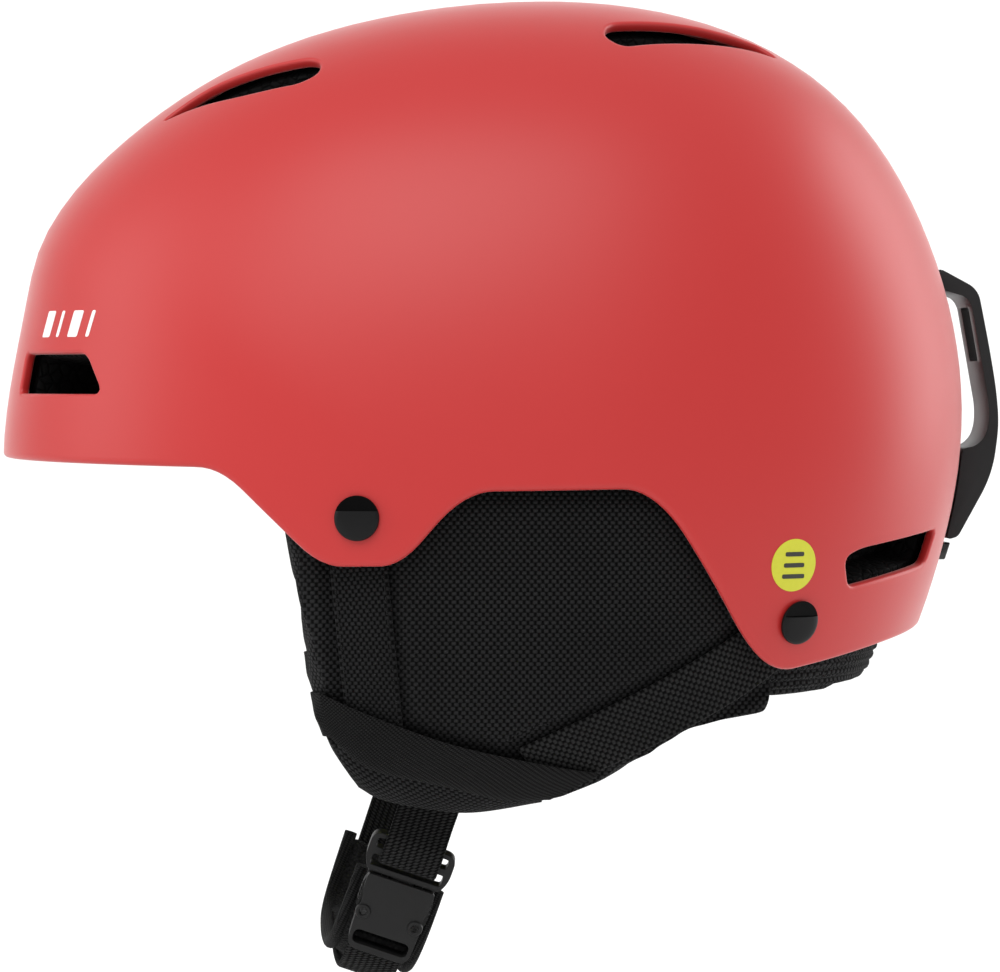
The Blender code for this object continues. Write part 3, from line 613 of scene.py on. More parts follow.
SHELL_PAINT = shell_look()
FOAM = foam_look()
FILM = film_look()
STEEL = steel_look()
FLEECE = fleece_look()
COARSE = cloth_look("coarse_weave", 1.95, 2.2, (0.0002, 0.0002, 0.0002), (0.0142, 0.0142, 0.0147), 0.34)
STRAP_WEAVE = cloth_look("strap_weave", 1.7, 2.2, (0.0003, 0.0003, 0.0003), (0.0140, 0.0140, 0.0145), 0.30)
RIBBED = cloth_look("ribbed_webbing", 2.4, 2.1, (0.0003, 0.0003, 0.0003), (0.0170, 0.0170, 0.0170), 0.32,
                    wobble=0.06)
BINDING = cloth_look("binding_tape", 1.15, 1.15, (0.0012, 0.0012, 0.0012), (0.0120, 0.0120, 0.0120), 0.14,
                     skew=0.55, wobble=0.04)
TWILL = cloth_look("twill_webbing", 1.7, 1.9, (0.0003, 0.0003, 0.0003), (0.0165, 0.0165, 0.0165), 0.3,
                   skew=0.9, wobble=0.05)
BRUSHED = cloth_look("brushed_knit", 1.3, 1.5, (0.0020, 0.0020, 0.0022), (0.0120, 0.0120, 0.0130),
                      0.2, fuzz=0.8)
CLIP_BLACK = plastic_look("clip_plastic", (0.0070, 0.0070, 0.0073), (0.0120, 0.0120, 0.0125), (0.34, 0.50),
                          Specular_IOR_Level=0.25)
CATCH_BLACK = plastic_look("catch_plastic", (0.005, 0.005, 0.005), (0.009, 0.009, 0.009), (0.12, 0.24))
BUCKLE_BLACK = plastic_look("buckle_plastic", (0.0045, 0.0045, 0.0045), (0.0090, 0.0090, 0.0090),
                            (0.38, 0.52), depth=0.05, Specular_IOR_Level=0.2)
CAP_BLACK = plastic_look("cap_plastic", (0.0030, 0.0030, 0.0030), (0.0060, 0.0060, 0.0062), (0.34, 0.5),
                         Specular_IOR_Level=0.14)
# Copy of the cap plastic for the thumb notch: glossier, and painted darker as painted shade in the sloped
# recess.
CAP_GLOSS_SHADE = plastic_look("cap_notch", (0.0008, 0.0008, 0.0008), (0.0016, 0.0016, 0.0016), (0.12, 0.22),
                         depth=0.01, Specular_IOR_Level=0.06)
RUBBER = plastic_look("stud_rubber", (0.006, 0.006, 0.006), (0.011, 0.011, 0.011), (0.6, 0.8), depth=0.08,
                      Specular_IOR_Level=0.2)
FIT_BLACK = plastic_look("fit_plastic", (0.005, 0.005, 0.005), (0.010, 0.010, 0.010), (0.38, 0.55),
                         Specular_IOR_Level=0.25)
THREAD = cloth_look("thread", 0.5, 0.5, (0.003, 0.003, 0.003), (0.016, 0.016, 0.016), 0.05)
MARK_WHITE = print_look("mark_ink", (0.72, 0.70, 0.69), (0.80, 0.78, 0.77))
STICKER = print_look("sticker_vinyl", (0.47, 0.47, 0.014), (0.53, 0.53, 0.020))
STICKER_INK = print_look("sticker_ink", (0.010, 0.010, 0.006), (0.018, 0.018, 0.012))


# ------------------------------------------------------- shells and liners
def flat_map(points):
    direction = unit(points - CENTRE)
    return direction[:, :2] / (1 + direction[:, 2:3])


def inside_loop(points, loop):
    x, y = points[:, :1], points[:, 1:2]
    a, b = loop, np.roll(loop, -1, 0)
    crosses = (a[:, 1] > y) != (b[:, 1] > y)
    where = (b[:, 0] - a[:, 0]) * (y - a[:, 1]) / (b[:, 1] - a[:, 1] + 1e-30) + a[:, 0]
    return (crosses & (x < where)).sum(1) % 2 == 1


def skin(loops, inset, step):
    """Fills the form at one inset inside the first loop and outside the others with triangles."""
    grid = []
    for k, rise in enumerate(np.arange(90 - step / 2, -35, -step)):
        count = max(6, round(360 * math.cos(math.radians(rise)) / step))
        turn = (np.arange(count) + 0.5 * (k % 2)) * math.tau / count
        flat = math.cos(math.radians(rise))
        grid.append(np.stack([np.sin(turn) * flat, np.cos(turn) * flat,
                              np.full(count, math.sin(math.radians(rise)))], -1))
    grid = march(CENTRE, np.vstack(grid), inset)
    edges = np.vstack(loops)
    tree = kdtree.KDTree(len(edges))
    for i, p in enumerate(edges):
        tree.insert(p, i)
    tree.balance()
    maps = [flat_map(loop) for loop in loops]
    flat = flat_map(grid)
    keep = inside_loop(flat, maps[0])
    for hole in maps[1:]:
        keep &= ~inside_loop(flat, hole)
    keep &= np.array([tree.find(p)[2] > 1.3 for p in grid])
    grid, flat = grid[keep], flat[keep]
    links, start = [], 0
    for loop in loops:
        count = len(loop)
        links += [(start + i, start + (i + 1) % count) for i in range(count)]
        start += count
    spots = np.vstack(maps + [flat])
    made = delaunay_2d_cdt([Vector(p) for p in spots], links, [], 0, 1e-9)
    origin = [o[0] if o else -1 for o in made[3]]
    faces = np.array([[origin[i] for i in face] for face in made[2] if len(face) == 3])
    faces = faces[(faces >= 0).all(1)]
    middle = spots[faces].mean(1)
    keep = inside_loop(middle, maps[0])
    for hole in maps[1:]:
        keep &= ~inside_loop(middle, hole)
    return grid, faces[keep]


def away(loop, out, centre=None):
    """Directions in the surface, square to a loop and away from its middle."""
    sideways = unit(np.cross(out, unit(np.roll(loop, -1, 0) - np.roll(loop, 1, 0))))
    middle = loop.mean(0) if centre is None else centre
    return sideways if ((loop - middle) * sideways).sum() > 0 else -sideways


def bowl(name, rim, layer, vents, look, edge, lip, step=2.4):
    """Shell between two insets: lower edge and vent lips follow profiles of (back from the edge, depth)."""
    outer, inner = layer
    degrees = np.arange(0, 360, 1.0)
    base = wall_point(np.radians(degrees), np.array([edge_height(rim, d) for d in degrees]), outer)
    out = normals(base, outer)
    up = away(base, out)
    up = up if up[:, 2].sum() > 0 else -up
    families = [[settle(base + up * back, out, outer + depth) for back, depth in edge]]
    for loop in vents:
        axis = normals(loop.mean(0)[None])[0]
        beside = away(loop, normals(loop))
        families.append([settle(loop + beside * back, np.broadcast_to(axis, loop.shape), outer + depth)
                         for back, depth in lip])
    points, faces, index = [], [], []
    total = 0
    for family in families:
        rows = []
        for loop in family:
            rows.append(np.arange(total, total + len(loop)))
            points.append(loop)
            total += len(loop)
        for a, b in zip(rows, rows[1:]):
            faces += [(a[i], a[(i + 1) % len(a)], b[(i + 1) % len(a)], b[i]) for i in range(len(a))]
        index.append(rows)
    for which, inset in ((0, outer), (-1, inner)):
        grid, triangles = skin([family[which] for family in families], inset, step)
        numbers = np.concatenate([rows[which] for rows in index] + [np.arange(total, total + len(grid))])
        points.append(grid)
        total += len(grid)
        faces += [tuple(numbers[t]) for t in triangles]
    return make(name, np.vstack(points), faces, look, 40.0)


def true_normals(piece, inset=0.0):
    """Shades the outer surface by the form itself, so triangles never show."""
    mesh = piece.data
    co = np.empty(len(mesh.vertices) * 3)
    mesh.vertices.foreach_get("co", co)
    co = co.reshape(-1, 3) / MM
    on = np.abs(form(co, inset) - 1) < 2e-5
    given = np.where(on[:, None], normals(co, inset), 0.0)
    mesh.normals_split_custom_set_from_vertices([tuple(n) for n in given])


def front_frame(flat, inset):
    """Places flat (distance round from the middle of the front, height) on the front."""
    return wall_point(np.radians(flat[:, 0] / 2.45), flat[:, 1], inset)


def vent_loops():
    """Vent outlines of the left half on the outer surface, with rounded corners."""
    loops = []
    brow = rounded([(31.6, 29), (66.7, 29.0), (75.3, 18.0), (31.3, 18)], (1.6, 3.2, 3.6, 1.6))
    loops.append(front_frame(brow, 0.0))
    front = rounded([(26.8, -78.2), (41.4, -50.1), (45.8, -47.1), (50.8, -47.9), (51.8, -53.3),
                     (45.7, -68.8), (28.8, -91.1)],
                    (14, 8, 3.2, 3.2, 4, 16, 2.0))
    loops.append(top_point(front[:, 0], front[:, 1], 0.0))
    rear = rounded([(42.4, 32.8), (49.8, 30.9), (54.1, 35.6), (43.9, 59.7), (28.6, 82.0), (23.6, 77.1)],
                   (4, 4, 4, 14, 3, 3))
    loops.append(top_point(rear[:, 0], rear[:, 1], 0.0))
    nape = rounded([(93.3, -26.2), (94.7, -34.5), (120.4, -29.5), (123.8, -19.9), (98.4, -23.9)],
                   (3.5, 2.0, 2.2, 1.6, 5.0))
    loops.append(side_point(nape[:, 0], nape[:, 1], 0.0, 1))
    return loops + [loop * (-1, 1, 1) for loop in loops]


VENTS = vent_loops()
window = rounded([(-15.6, 45.4), (15.6, 45.4), (15.6, 57.6), (-15.6, 57.6)], 1.6)
CLIP_WINDOW = back_point(window[:, 0], window[:, 1], 0.0)
ROUND_EDGE = ((1.9, 0.0), (1.1, 0.03), (0.5, 0.28), (0.12, 0.75), (0.0, 1.4),
              (0.12, 2.05), (0.5, 2.5), (1.2, 2.8))
VENT_LIP = ((1.25, 0.0), (0.8, 0.03), (0.42, 0.16), (0.14, 0.42), (0.0, 0.85),
            (0.0, 2.2), (0.2, 2.6), (0.6, 2.8))

shell = bowl("shell", SHELL_RIM, (0.0, SHELL_WALL), VENTS + [CLIP_WINDOW], SHELL_PAINT,
             ROUND_EDGE, VENT_LIP)
true_normals(shell)
attach(shell, "helmet", "shell_red", "outer_shell")

SQUARE_EDGE = ((2.0, 0.0), (0.8, 0.25), (0.1, 1.2), (0.1, 19.6), (1.0, 20.8), (2.6, 21.2))
HIGH_VENTS = [loop for loop in VENTS if loop[:, 2].min() > 12]
NAPE_VENTS = [loop for loop in VENTS if loop[:, 2].min() <= 12]
foam = bowl("foam", FOAM_RIM, FOAM_LAYER, HIGH_VENTS, FOAM, SQUARE_EDGE,
            ((1.6, 0.0), (0.5, 0.3), (0.0, 1.2), (0.0, 19.8), (0.6, 20.9), (1.8, 21.2)), 3.2)
pocket = rounded([(-16.6, 43.4), (16.6, 43.4), (16.6, 59.6), (-16.6, 59.6)], 1.0, 3.0)
carve(foam, [prism("cut", [(x, 116, z) for x, z in pocket], (0, 24, 0))])
carve(foam, [prism("cut", loop, -16.0 * normals(loop.mean(0)[None])[0]) for loop in NAPE_VENTS])
attach(foam, "helmet", "foam", "foam_liner")

FILM_EDGE = ((0.5, 0.0), (0.0, 0.35), (0.0, 0.85), (0.5, 1.2))
liner = bowl("slip_layer", LINER_RIM, LINER_LAYER, HIGH_VENTS, FILM, FILM_EDGE, FILM_EDGE, 3.2)
studs = []
for degrees, height in ((0, 52), (180, 50), (90, 46), (270, 46)):
    seat = wall_point(math.radians(degrees), height, FOAM_LAYER[1])
    axis = -normals(seat[None], FOAM_LAYER[1])[0]
    studs.append(lathe("cut", ((0, 0), (7.0, 0), (7.0, 9), (0, 9)), seat, axis, None, 32))
carve(liner, studs)
attach(liner, "slip_liner", "liner_film", "slip_liner")


# ------------------------------------------------------------ soft pieces
def copy_of(node, name, look):
    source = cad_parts[node]
    mesh = source.data.copy()
    mesh.materials.clear()
    mesh.materials.append(look)
    piece = bpy.data.objects.new(name, mesh)
    bpy.context.scene.collection.objects.link(piece)
    return piece


def coordinates(mesh):
    co = np.empty(len(mesh.vertices) * 3)
    mesh.vertices.foreach_get("co", co)
    return co.reshape(-1, 3)


def plump(node, name, look, voxel, shrink, cap, pressure=4.0, rounds=1, limit=None, finish=None):
    """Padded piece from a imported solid: shrunk, remeshed and blown up as cloth, its swelling capped."""
    piece = copy_of(node, name, look)
    shape = bmesh.new()
    shape.from_mesh(piece.data)
    bmesh.ops.remove_doubles(shape, verts=shape.verts[:], dist=1e-6)
    shape.to_mesh(piece.data)
    shape.free()
    remesh = piece.modifiers.new("voxels", "REMESH")
    remesh.mode = "VOXEL"
    remesh.voxel_size = voxel * MM
    bake(piece, None)
    mesh = piece.data
    start = coordinates(mesh)
    out = np.array([tuple(v.normal) for v in mesh.vertices])
    start = start - out * shrink * MM
    mesh.vertices.foreach_set("co", start.ravel())
    mesh.update()
    cloth = piece.modifiers.new("cloth", "CLOTH")
    cloth.settings.use_pressure = True
    cloth.settings.uniform_pressure_force = pressure
    cloth.settings.effector_weights.gravity = 0.0
    cloth.settings.quality = 5
    cloth.settings.tension_stiffness = 12
    cloth.settings.compression_stiffness = 12
    cloth.settings.bending_stiffness = 0.6
    for step in range(1, 21):
        bpy.context.scene.frame_set(step)
    graph = bpy.context.evaluated_depsgraph_get()
    moved = coordinates(piece.evaluated_get(graph).data)
    piece.modifiers.clear()
    bpy.context.scene.frame_set(1)
    shift = moved - start
    size = np.linalg.norm(shift, axis=1, keepdims=True)
    start = start + shift * np.minimum(1.0, cap * MM / np.maximum(size, 1e-12))
    mesh.vertices.foreach_set("co", start.ravel())
    mesh.update()
    ease = piece.modifiers.new("ease", "SMOOTH")
    ease.factor = 0.5
    ease.iterations = 2
    finer = piece.modifiers.new("finer", "SUBSURF")
    finer.levels = finer.render_levels = rounds
    bake(piece, None)
    mesh = piece.data
    if limit is not None or finish is not None:
        points = coordinates(mesh) / MM
        if finish is not None:
            out = np.array([tuple(v.normal) for v in mesh.vertices])
            points = finish(points, out)
        if limit is not None:
            points = limit(points)
        mesh.vertices.foreach_set("co", (points * MM).ravel())
        mesh.update()
    mesh.shade_smooth()
    uv_by_box(piece)
    return piece


def under(points, inset):
    """Pulls whatever stands outside an inset of the form back onto it."""
    inset = np.broadcast_to(inset, len(points))
    outside = form(points, inset) > 1
    if outside.any():
        spots = points[outside]
        points = points.copy()
        sideways = np.sign(spots[:, :1]) * np.array((1.0, 0.0, 0.0))
        points[outside] = march(spots * (0, 1, 1), sideways, inset[outside])
    return points


FRONT_PATH = ((-39.4, -7), (-38.3, -25), (-36.7, -42), (-34.8, -60), (-32.7, -79))
REAR_PATH = ((86.3, -38), (66.9, -53), (47.2, -64.5), (27.2, -74.5), (9, -83))


def near_path(points, path, width):
    """1 under a strap, falling to 0 a few millimetres beside it."""
    line = smooth_curve(path, 60)
    gap = np.sqrt(((points[:, None, 1:] - line[None]) ** 2).sum(-1)).min(1)
    t = np.clip((gap - width / 2) / 4.5, 0, 1)
    return 1 - t * t * (3 - 2 * t)


def ear_limit(points):
    held = np.maximum(near_path(points, FRONT_PATH, 15.5), near_path(points, REAR_PATH, 18.0))
    cover = np.clip((points[:, 2] + 12) / 10, 0, 1)
    band = np.clip((-60 - points[:, 2] - 0.28 * (points[:, 1] + 44)) / 6, 0, 1) * (points[:, 1] < 30)
    held = np.maximum(np.maximum(held, band), cover)
    return under(points, 5.0 + 2.1 * held)


def ear_fill(points, out):
    """Fuller front edge and lower rear edge, where the padding is held by the binding."""
    front = np.clip((-34 - points[:, 1]) / 10, 0, 1)
    low = np.clip((points[:, 1] - 2) / 16, 0, 1)
    low *= np.clip((-48 - 0.30 * (70 - points[:, 1]) - points[:, 2]) / 8, 0, 1)
    back = np.clip((points[:, 1] - 52) / 14, 0, 1) * np.clip((-46 - points[:, 2]) / 10, 0, 1)
    moved = points.copy()
    moved[:, 1] += 6.0 * back - 1.5 * front
    moved[:, 2] -= 1.6 * low
    return moved


PADS = {}
for word, side in SIDES.items():
    pad = plump(f"ear_pad_{word}", f"ear_cushion_{word}", COARSE, 2.8, 0.6, 3.4, 5.0, 1,
                ear_limit, ear_fill)
    PADS[side] = pad
    attach(pad, "helmet", "fabric_weave", f"ear_pad_{word}", f"ear_pad_plate_{word}")

COMFORT = {"brow_pad": 0.5, "crown_pad": 0.5, "side_pad_left": 0.5, "side_pad_right": 0.5, "rear_pad": 0.5,
           "nape_pad": 0.5}
for node, fill in COMFORT.items():
    pad = plump(node, f"{node}_cover", BRUSHED, 2.4, 0.9, 1.3, 5.0)
    attach(pad, "fit_cradle" if node == "nape_pad" else "slip_liner", "comfort_fabric", node)


FOLD_LEVELS = (-52.6, -55.4, -58.0, -60.8, -63.2)
FOLD_WIDTH = 0.55
FOLD_DEPTH = 0.75
FOLD_INSET = 8.0


def roll_folds(points, out):
    """Sewn folds along the neck roll's outer face."""
    outer = np.clip((out * normals(points, FOLD_INSET)).sum(1), 0, 1)
    depth = sum(np.exp(-((points[:, 2] - level) / FOLD_WIDTH) ** 2) for level in FOLD_LEVELS)
    return points - out * (FOLD_DEPTH * depth * outer)[:, None]


roll = plump("neck_roll", "neck_cushion", COARSE, 3.2, 1.0, 2.0, 5.0, 2,
             lambda points: under(points, 6.0), roll_folds)
attach(roll, "helmet", "fabric_weave", "neck_roll")


# ----------------------------------------------------- straps on the pads
STITCH = ((0, -0.12, 0.4), (0.2, 0.06, 1), (0.5, 0.14, 1), (0.8, 0.06, 1), (1, -0.12, 0.4))


def stitches(name, line, out, look, length=2.0, gap=1.1, radius=0.22):
    """Row of short threads along a line on a surface."""
    along = lengths_along(line)
    points, faces = [], []
    sides = 6
    for start in np.arange(0.6, along[-1] - length, length + gap):
        for share, lift, size in STITCH:
            at = start + share * length
            spot = np.array([np.interp(at, along, line[:, k]) for k in range(3)])
            up = unit(np.array([np.interp(at, along, out[:, k]) for k in range(3)]))
            ahead = np.array([np.interp(at + 0.3, along, line[:, k]) for k in range(3)]) - spot
            if not ahead.any():
                ahead = line[-1] - line[-2]
            beside = unit(np.cross(up, ahead))
            angles = np.linspace(0, math.tau, sides, endpoint=False)[:, None]
            ring = beside * np.cos(angles) + up * np.sin(angles)
            points.append(spot + up * lift + ring * radius * size)
        first = (len(points) - 5) * sides
        for r in range(4):
            faces += [(first + r * sides + i, first + r * sides + (i + 1) % sides,
                       first + (r + 1) * sides + (i + 1) % sides, first + (r + 1) * sides + i)
                      for i in range(sides)]
        faces += [tuple(range(first, first + sides)), tuple(range(first + 4 * sides, first + 5 * sides))]
    piece = make(name, np.vstack(points), faces, look)
    uv_by_box(piece)
    return piece


def slab(name, outer, inner, look):
    """Closed sheet between two grids of points, with coordinates in metres for its weave."""
    outer, inner = np.asarray(outer), np.asarray(inner)
    rows, columns = outer.shape[:2]
    under_ = rows * columns
    faces = []
    for r in range(rows - 1):
        for c in range(columns - 1):
            a, b = r * columns + c, (r + 1) * columns + c
            faces.append((a, a + 1, b + 1, b))
            faces.append((under_ + a, under_ + b, under_ + b + 1, under_ + a + 1))
    border = list(range(columns)) + [r * columns + columns - 1 for r in range(1, rows)]
    border += [(rows - 1) * columns + c for c in range(columns - 2, -1, -1)]
    border += [r * columns for r in range(rows - 2, 0, -1)]
    faces += [(a, b, under_ + b, under_ + a) for a, b in zip(border, border[1:] + border[:1])]
    piece = make(name, np.vstack([outer.reshape(-1, 3), inner.reshape(-1, 3)]), faces, look, 50.0)
    across = lengths_along(outer[rows // 2])
    down = lengths_along(outer[:, columns // 2])
    layer = piece.data.uv_layers.new(name="weave")
    for loop in piece.data.loops:
        r, c = divmod(loop.vertex_index % under_, columns)
        layer.data[loop.index].uv = (down[r] * MM, across[c] * MM)
    return piece


def coons(edges, u, v):
    def at(curve, t):
        place = t * (len(curve) - 1)
        i = min(int(place), len(curve) - 2)
        return curve[i] * (1 - (place - i)) + curve[i + 1] * (place - i)
    top, bottom, left, right = edges
    ruled = at(top, u) * (1 - v) + at(bottom, u) * v + at(left, v) * (1 - u) + at(right, v) * u
    return ruled - (top[0] * (1 - u) * (1 - v) + top[-1] * u * (1 - v) + bottom[0] * (1 - u) * v
                    + bottom[-1] * u * v)


BAND_EDGES = (
    ((-48.5, -61.5), (-37.6, -66.5), (-13.5, -75.3), (12.2, -81.3), (27, -84)),
    ((-46, -73.5), (-34.7, -82.7), (-16, -87), (0.4, -91.2), (13.7, -91.3)),
    ((-48.5, -61.5), (-46, -73.5)),
    ((27, -84), (13.7, -91.3)),
)


def tape(side):
    """Binding tape over the pad's lower front, turned in round its front edge."""
    edges = [smooth_curve(edge, 40) for edge in BAND_EDGES]
    rows, columns = 11, 44
    surface = BVHTree.FromObject(PADS[side], bpy.context.evaluated_depsgraph_get())
    grids = []
    for lift in (0.0, BAND_LAYER[1] - BAND_LAYER[0]):
        grid = []
        for r in range(rows):
            v = r / (rows - 1)
            flat = np.array([coons(edges, c / (columns - 1), v) for c in range(columns)])
            roll_in = 0.35 * abs(2 * v - 1) ** 6 if lift == 0 else 0.0
            line = side_point(flat[:, 0], flat[:, 1], BAND_LAYER[0] + lift + roll_in, side)
            start = side_point(flat[0, 0], flat[0, 1], BAND_LAYER[0], side)
            heart = np.array((start[0] - side * 7.0, start[1] + 3.0, start[2]))
            wrap = []
            for turn in np.linspace(math.radians(150), math.radians(12), 16):
                ray = np.array((side * math.cos(turn), -math.sin(turn), -0.10 * math.sin(turn)))
                hit = surface.ray_cast(Vector((heart + ray * 40) * MM), Vector(-ray), 0.04)[0]
                reach = 7.0 if hit is None else np.dot(np.array(hit) / MM - heart, ray)
                settled = min(1.0, turn / math.radians(55))
                wrap.append(heart + ray * (reach + (0.9 - lift) * settled + (2.0 - lift) * (1 - settled)))
            grid.append(np.vstack([wrap, line]))
        grids.append(grid)
    return slab(f"binding_tape_{'left' if side > 0 else 'right'}", grids[0], grids[1], BINDING)


SKIRT_EDGES = (
    ((-43.5, -76), (-30, -79.5), (-14, -84), (0, -86.5), (12, -88)),
    ((-37.5, -88.6), (-31, -92.2), (-18, -94.8), (-6, -95.6), (12, -92.6)),
    ((-43.5, -76), (-41.5, -82.5), (-37.5, -88.6)),
    ((12, -88), (12, -92.6)),
)


def skirt(side, word):
    """Hem of the pad's cover, hanging outside the place where the chin strap goes up."""
    edges = [smooth_curve(edge, 40) for edge in SKIRT_EDGES]
    rows, columns = 12, 40
    grids = []
    for depth in (0.0, 3.2):
        grid = []
        for r in range(rows):
            v = r / (rows - 1)
            flat = np.array([coons(edges, c / (columns - 1), v) for c in range(columns)])
            ends = np.abs(np.linspace(-1, 1, columns)) ** 8
            tuck = np.clip(2.2 * v ** 5 + 1.2 * ends, 0, 2.4)
            inset = 5.4 + tuck if depth == 0 else 5.6 + depth
            grid.append(side_point(flat[:, 0], flat[:, 1], inset, side))
        grids.append(grid)
    return slab(f"ear_pad_hem_{word}", grids[0], grids[1], COARSE)


for word, side in SIDES.items():
    middle = sum(STRAP_LAYER) / 2
    line, across, out = on_side(FRONT_PATH, side, middle, 46)
    front = webbing(f"front_webbing_{word}", line, across, out, 15.5, 1.2, STRAP_WEAVE)
    attach(front, "helmet", "webbing", f"front_strap_{word}")
    for share, name in ((-1, "fore"), (1, "aft")):
        seam = line[8:] + across[8:] * 6.6 * share + out[8:] * 0.62
        thread = stitches(f"front_seam_{name}_{word}", seam, out[8:], THREAD)
        attach(thread, "helmet", "webbing")
    line, across, out = on_side(REAR_PATH, side, middle, 60)
    rear = webbing(f"rear_webbing_{word}", line, across, out, 18.0, 1.2, RIBBED)
    attach(rear, "helmet", "webbing", f"rear_strap_{word}")
    hem = skirt(side, word)
    attach(hem, "helmet", "fabric_weave")
    band = tape(side)
    attach(band, "helmet", "binding", f"ear_pad_band_{word}")


# ------------------------------------------------------- caps on the shell
def cap(place, side, name):
    """Snap cap: low disc with rolled rim and a sloped, polished thumb notch across its top."""
    seat = side_point(place[0], place[1], 0.0, side)
    axis = normals(seat[None])[0]
    profile = ((0, -10.0), (2.5, -10.0), (2.5, 0.35), (5.7, 0.35), (5.95, 0.45), (6.0, 0.7), (5.97, 1.0),
               (5.8, 1.35), (5.45, 1.62), (4.8, 1.84), (3.6, 2.02), (2.0, 2.14), (0, 2.18))
    piece = lathe(f"anchor_button_{name}", profile, seat, axis, CAP_BLACK, 64)
    up = unit(np.array((0.0, 0.0, 1.0)) - axis * axis[2])
    beside = np.cross(axis, up)
    low, high = 1.9, 7.5
    corners = [seat + up * low + axis * 2.6, seat + up * low + axis * 1.15, seat + up * high + axis * 0.75,
               seat + up * high + axis * 2.6]
    notch = prism("cut", [c - beside * 9 for c in corners], beside * 18, CAP_GLOSS_SHADE)
    # The notch faces take the darker copy of the cap plastic, its darkness painted shade.
    piece.data.materials.append(CAP_GLOSS_SHADE)
    carve(piece, [notch])
    attach(piece, "helmet", "cap_plastic", f"anchor_cap_{name}")


for word, side in SIDES.items():
    cap((-38.7, -14.6), side, f"front_{word}")
    cap((79.6, -43.1), side, f"rear_{word}")


# ------------------------------------------------------------- chin strap
def loop_point(x, drop):
    return HANG + SIDEWAYS * x + DOWN * drop


def strap_frame(line):
    along = unit(np.gradient(line, axis=0))
    across = np.broadcast_to(ACROSS, line.shape)
    return across, unit(np.cross(along, across))


def rounded_top(line, radius, width):
    """Width shares that give a strap's start a round end."""
    length = lengths_along(line)
    return np.clip(np.sqrt(np.clip(radius ** 2 - (radius - length) ** 2, 0, None)) / (width / 2), 0.12, 1) \
        * (length < radius) + (length >= radius)


plan = ((-9.9, 0), (0, 0), (5, 1.6), (8.5, 3.6), (13, 3.6), (15.0, 3.1), (16.0, 1.4), (16.1, -1.5))
leg = smooth_curve([LEG_START + LEG_DOWN * down + LEG_OUT * out for down, out in plan], 70)
across, out = strap_frame(leg)
left_web = webbing("left_webbing", leg, across, out, 16.4, 1.4, TWILL, taper=rounded_top(leg, 9.9, 16.4))
attach(left_web, "left_strap", "webbing", "chin_strap_left")

around = [(56.5, 37.5), (52.6, 36.5), (50.4, 36.6), (48.3, 38.6), (46.5, 43), (42, 47.3), (34, 49.8),
          (0, 51.2), (-34, 50.2), (-48, 46.4), (-56, 38), (-60, 20), (-64, 0), (-66.2, -9.9)]
strap = smooth_curve([loop_point(x, drop) for x, drop in around], 210)
across, out = strap_frame(strap)
tail = rounded_top(strap[::-1], 9.9, 15.6)[::-1]
right_web = webbing("right_webbing", strap, across, out, 15.6, 1.4, TWILL, taper=tail)
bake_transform(right_web)
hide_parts("chin_strap_right", "strap_end_right")

inside = [(49.0, 20), (47.6, 29), (43.6, 37), (37, 42.4), (24, 45.8), (0, 46.9),
          (-24, 46.3), (-38, 44.6), (-47, 39.5), (-51.5, 30), (-53.5, 22)]


def pile(points, out):
    """Tufts of the fleece's pile."""
    waves = np.zeros(len(points))
    for scale, size, turn in ((1.9, 0.16, 0.4), (3.1, 0.11, 1.7), (4.7, 0.08, 2.9)):
        mixed = points @ np.array([[1, 0.31, -0.22], [-0.27, 1, 0.35], [0.19, -0.33, 1]])
        waves += size * np.sin(mixed[:, 0] * scale + turn) * np.sin(mixed[:, 1] * scale * 1.13 + turn * 2) \
            * np.sin(mixed[:, 2] * scale * 0.91 - turn)
    return points + out * waves[:, None]


chin = plump("chin_pad", "chin_fleece", FLEECE, 2.1, 0.75, 1.2, 6.0, 1, None, pile)
attach(chin, "right_strap", "fleece", "chin_pad")
line = smooth_curve([loop_point(x, drop) for x, drop in inside], 90)
for share, name in ((-1, "front"), (1, "rear")):
    edge = tube(f"chin_pad_binding_{name}", line + ACROSS * 10.9 * share, 1.9, BINDING, 14)
    uv_by_box(edge)
    attach(edge, "right_strap", "binding")


# ----------------------------------------------------------------- buckle
def leg_point(across, down, out):
    return LEG_START + ACROSS * across + LEG_DOWN * down + LEG_OUT * out


def leg_prism(name, outline, low, high, look=None):
    """Plate of the buckle from an outline of (across, down) between two heights."""
    return prism(name, [leg_point(a, d, low) for a, d in outline], LEG_OUT * (high - low), look)


def leg_box(a0, a1, d0, d1, o0, o1):
    return leg_prism("cut", [(a0, d0), (a1, d0), (a1, d1), (a0, d1)], o0, o1)


plate = rounded([(-9.6, 19.9), (9.6, 19.9), (9.6, 24.5), (8.7, 28.0), (9.3, 31.5), (8.8, 42), (-8.8, 42),
                 (-9.3, 31.5), (-8.7, 28.0), (-9.6, 24.5)], (0.9, 0.9, 3, 4, 4, 3.2, 3.2, 4, 4, 3), 0.8)
socket = leg_prism("buckle_plate", plate, -3.05, 3.05, BUCKLE_BLACK)
slot_cut = leg_prism("cut", rounded([(-7.9, 36.2), (7.9, 36.2), (7.9, 40.2), (-7.9, 40.2)], 1.7, 0.6),
                     -5, 5)
carve(socket, [slot_cut, leg_box(-13, -5.9, 18, 33.0, -1.9, 1.9), leg_box(5.9, 13, 18, 33.0, -1.9, 1.9),
               leg_box(-4.0, 4.0, 18, 31, -1.9, 1.9)])
soften(socket, 0.5, 3, 30.0)
attach(socket, "right_strap", "buckle_plastic", "buckle_socket")
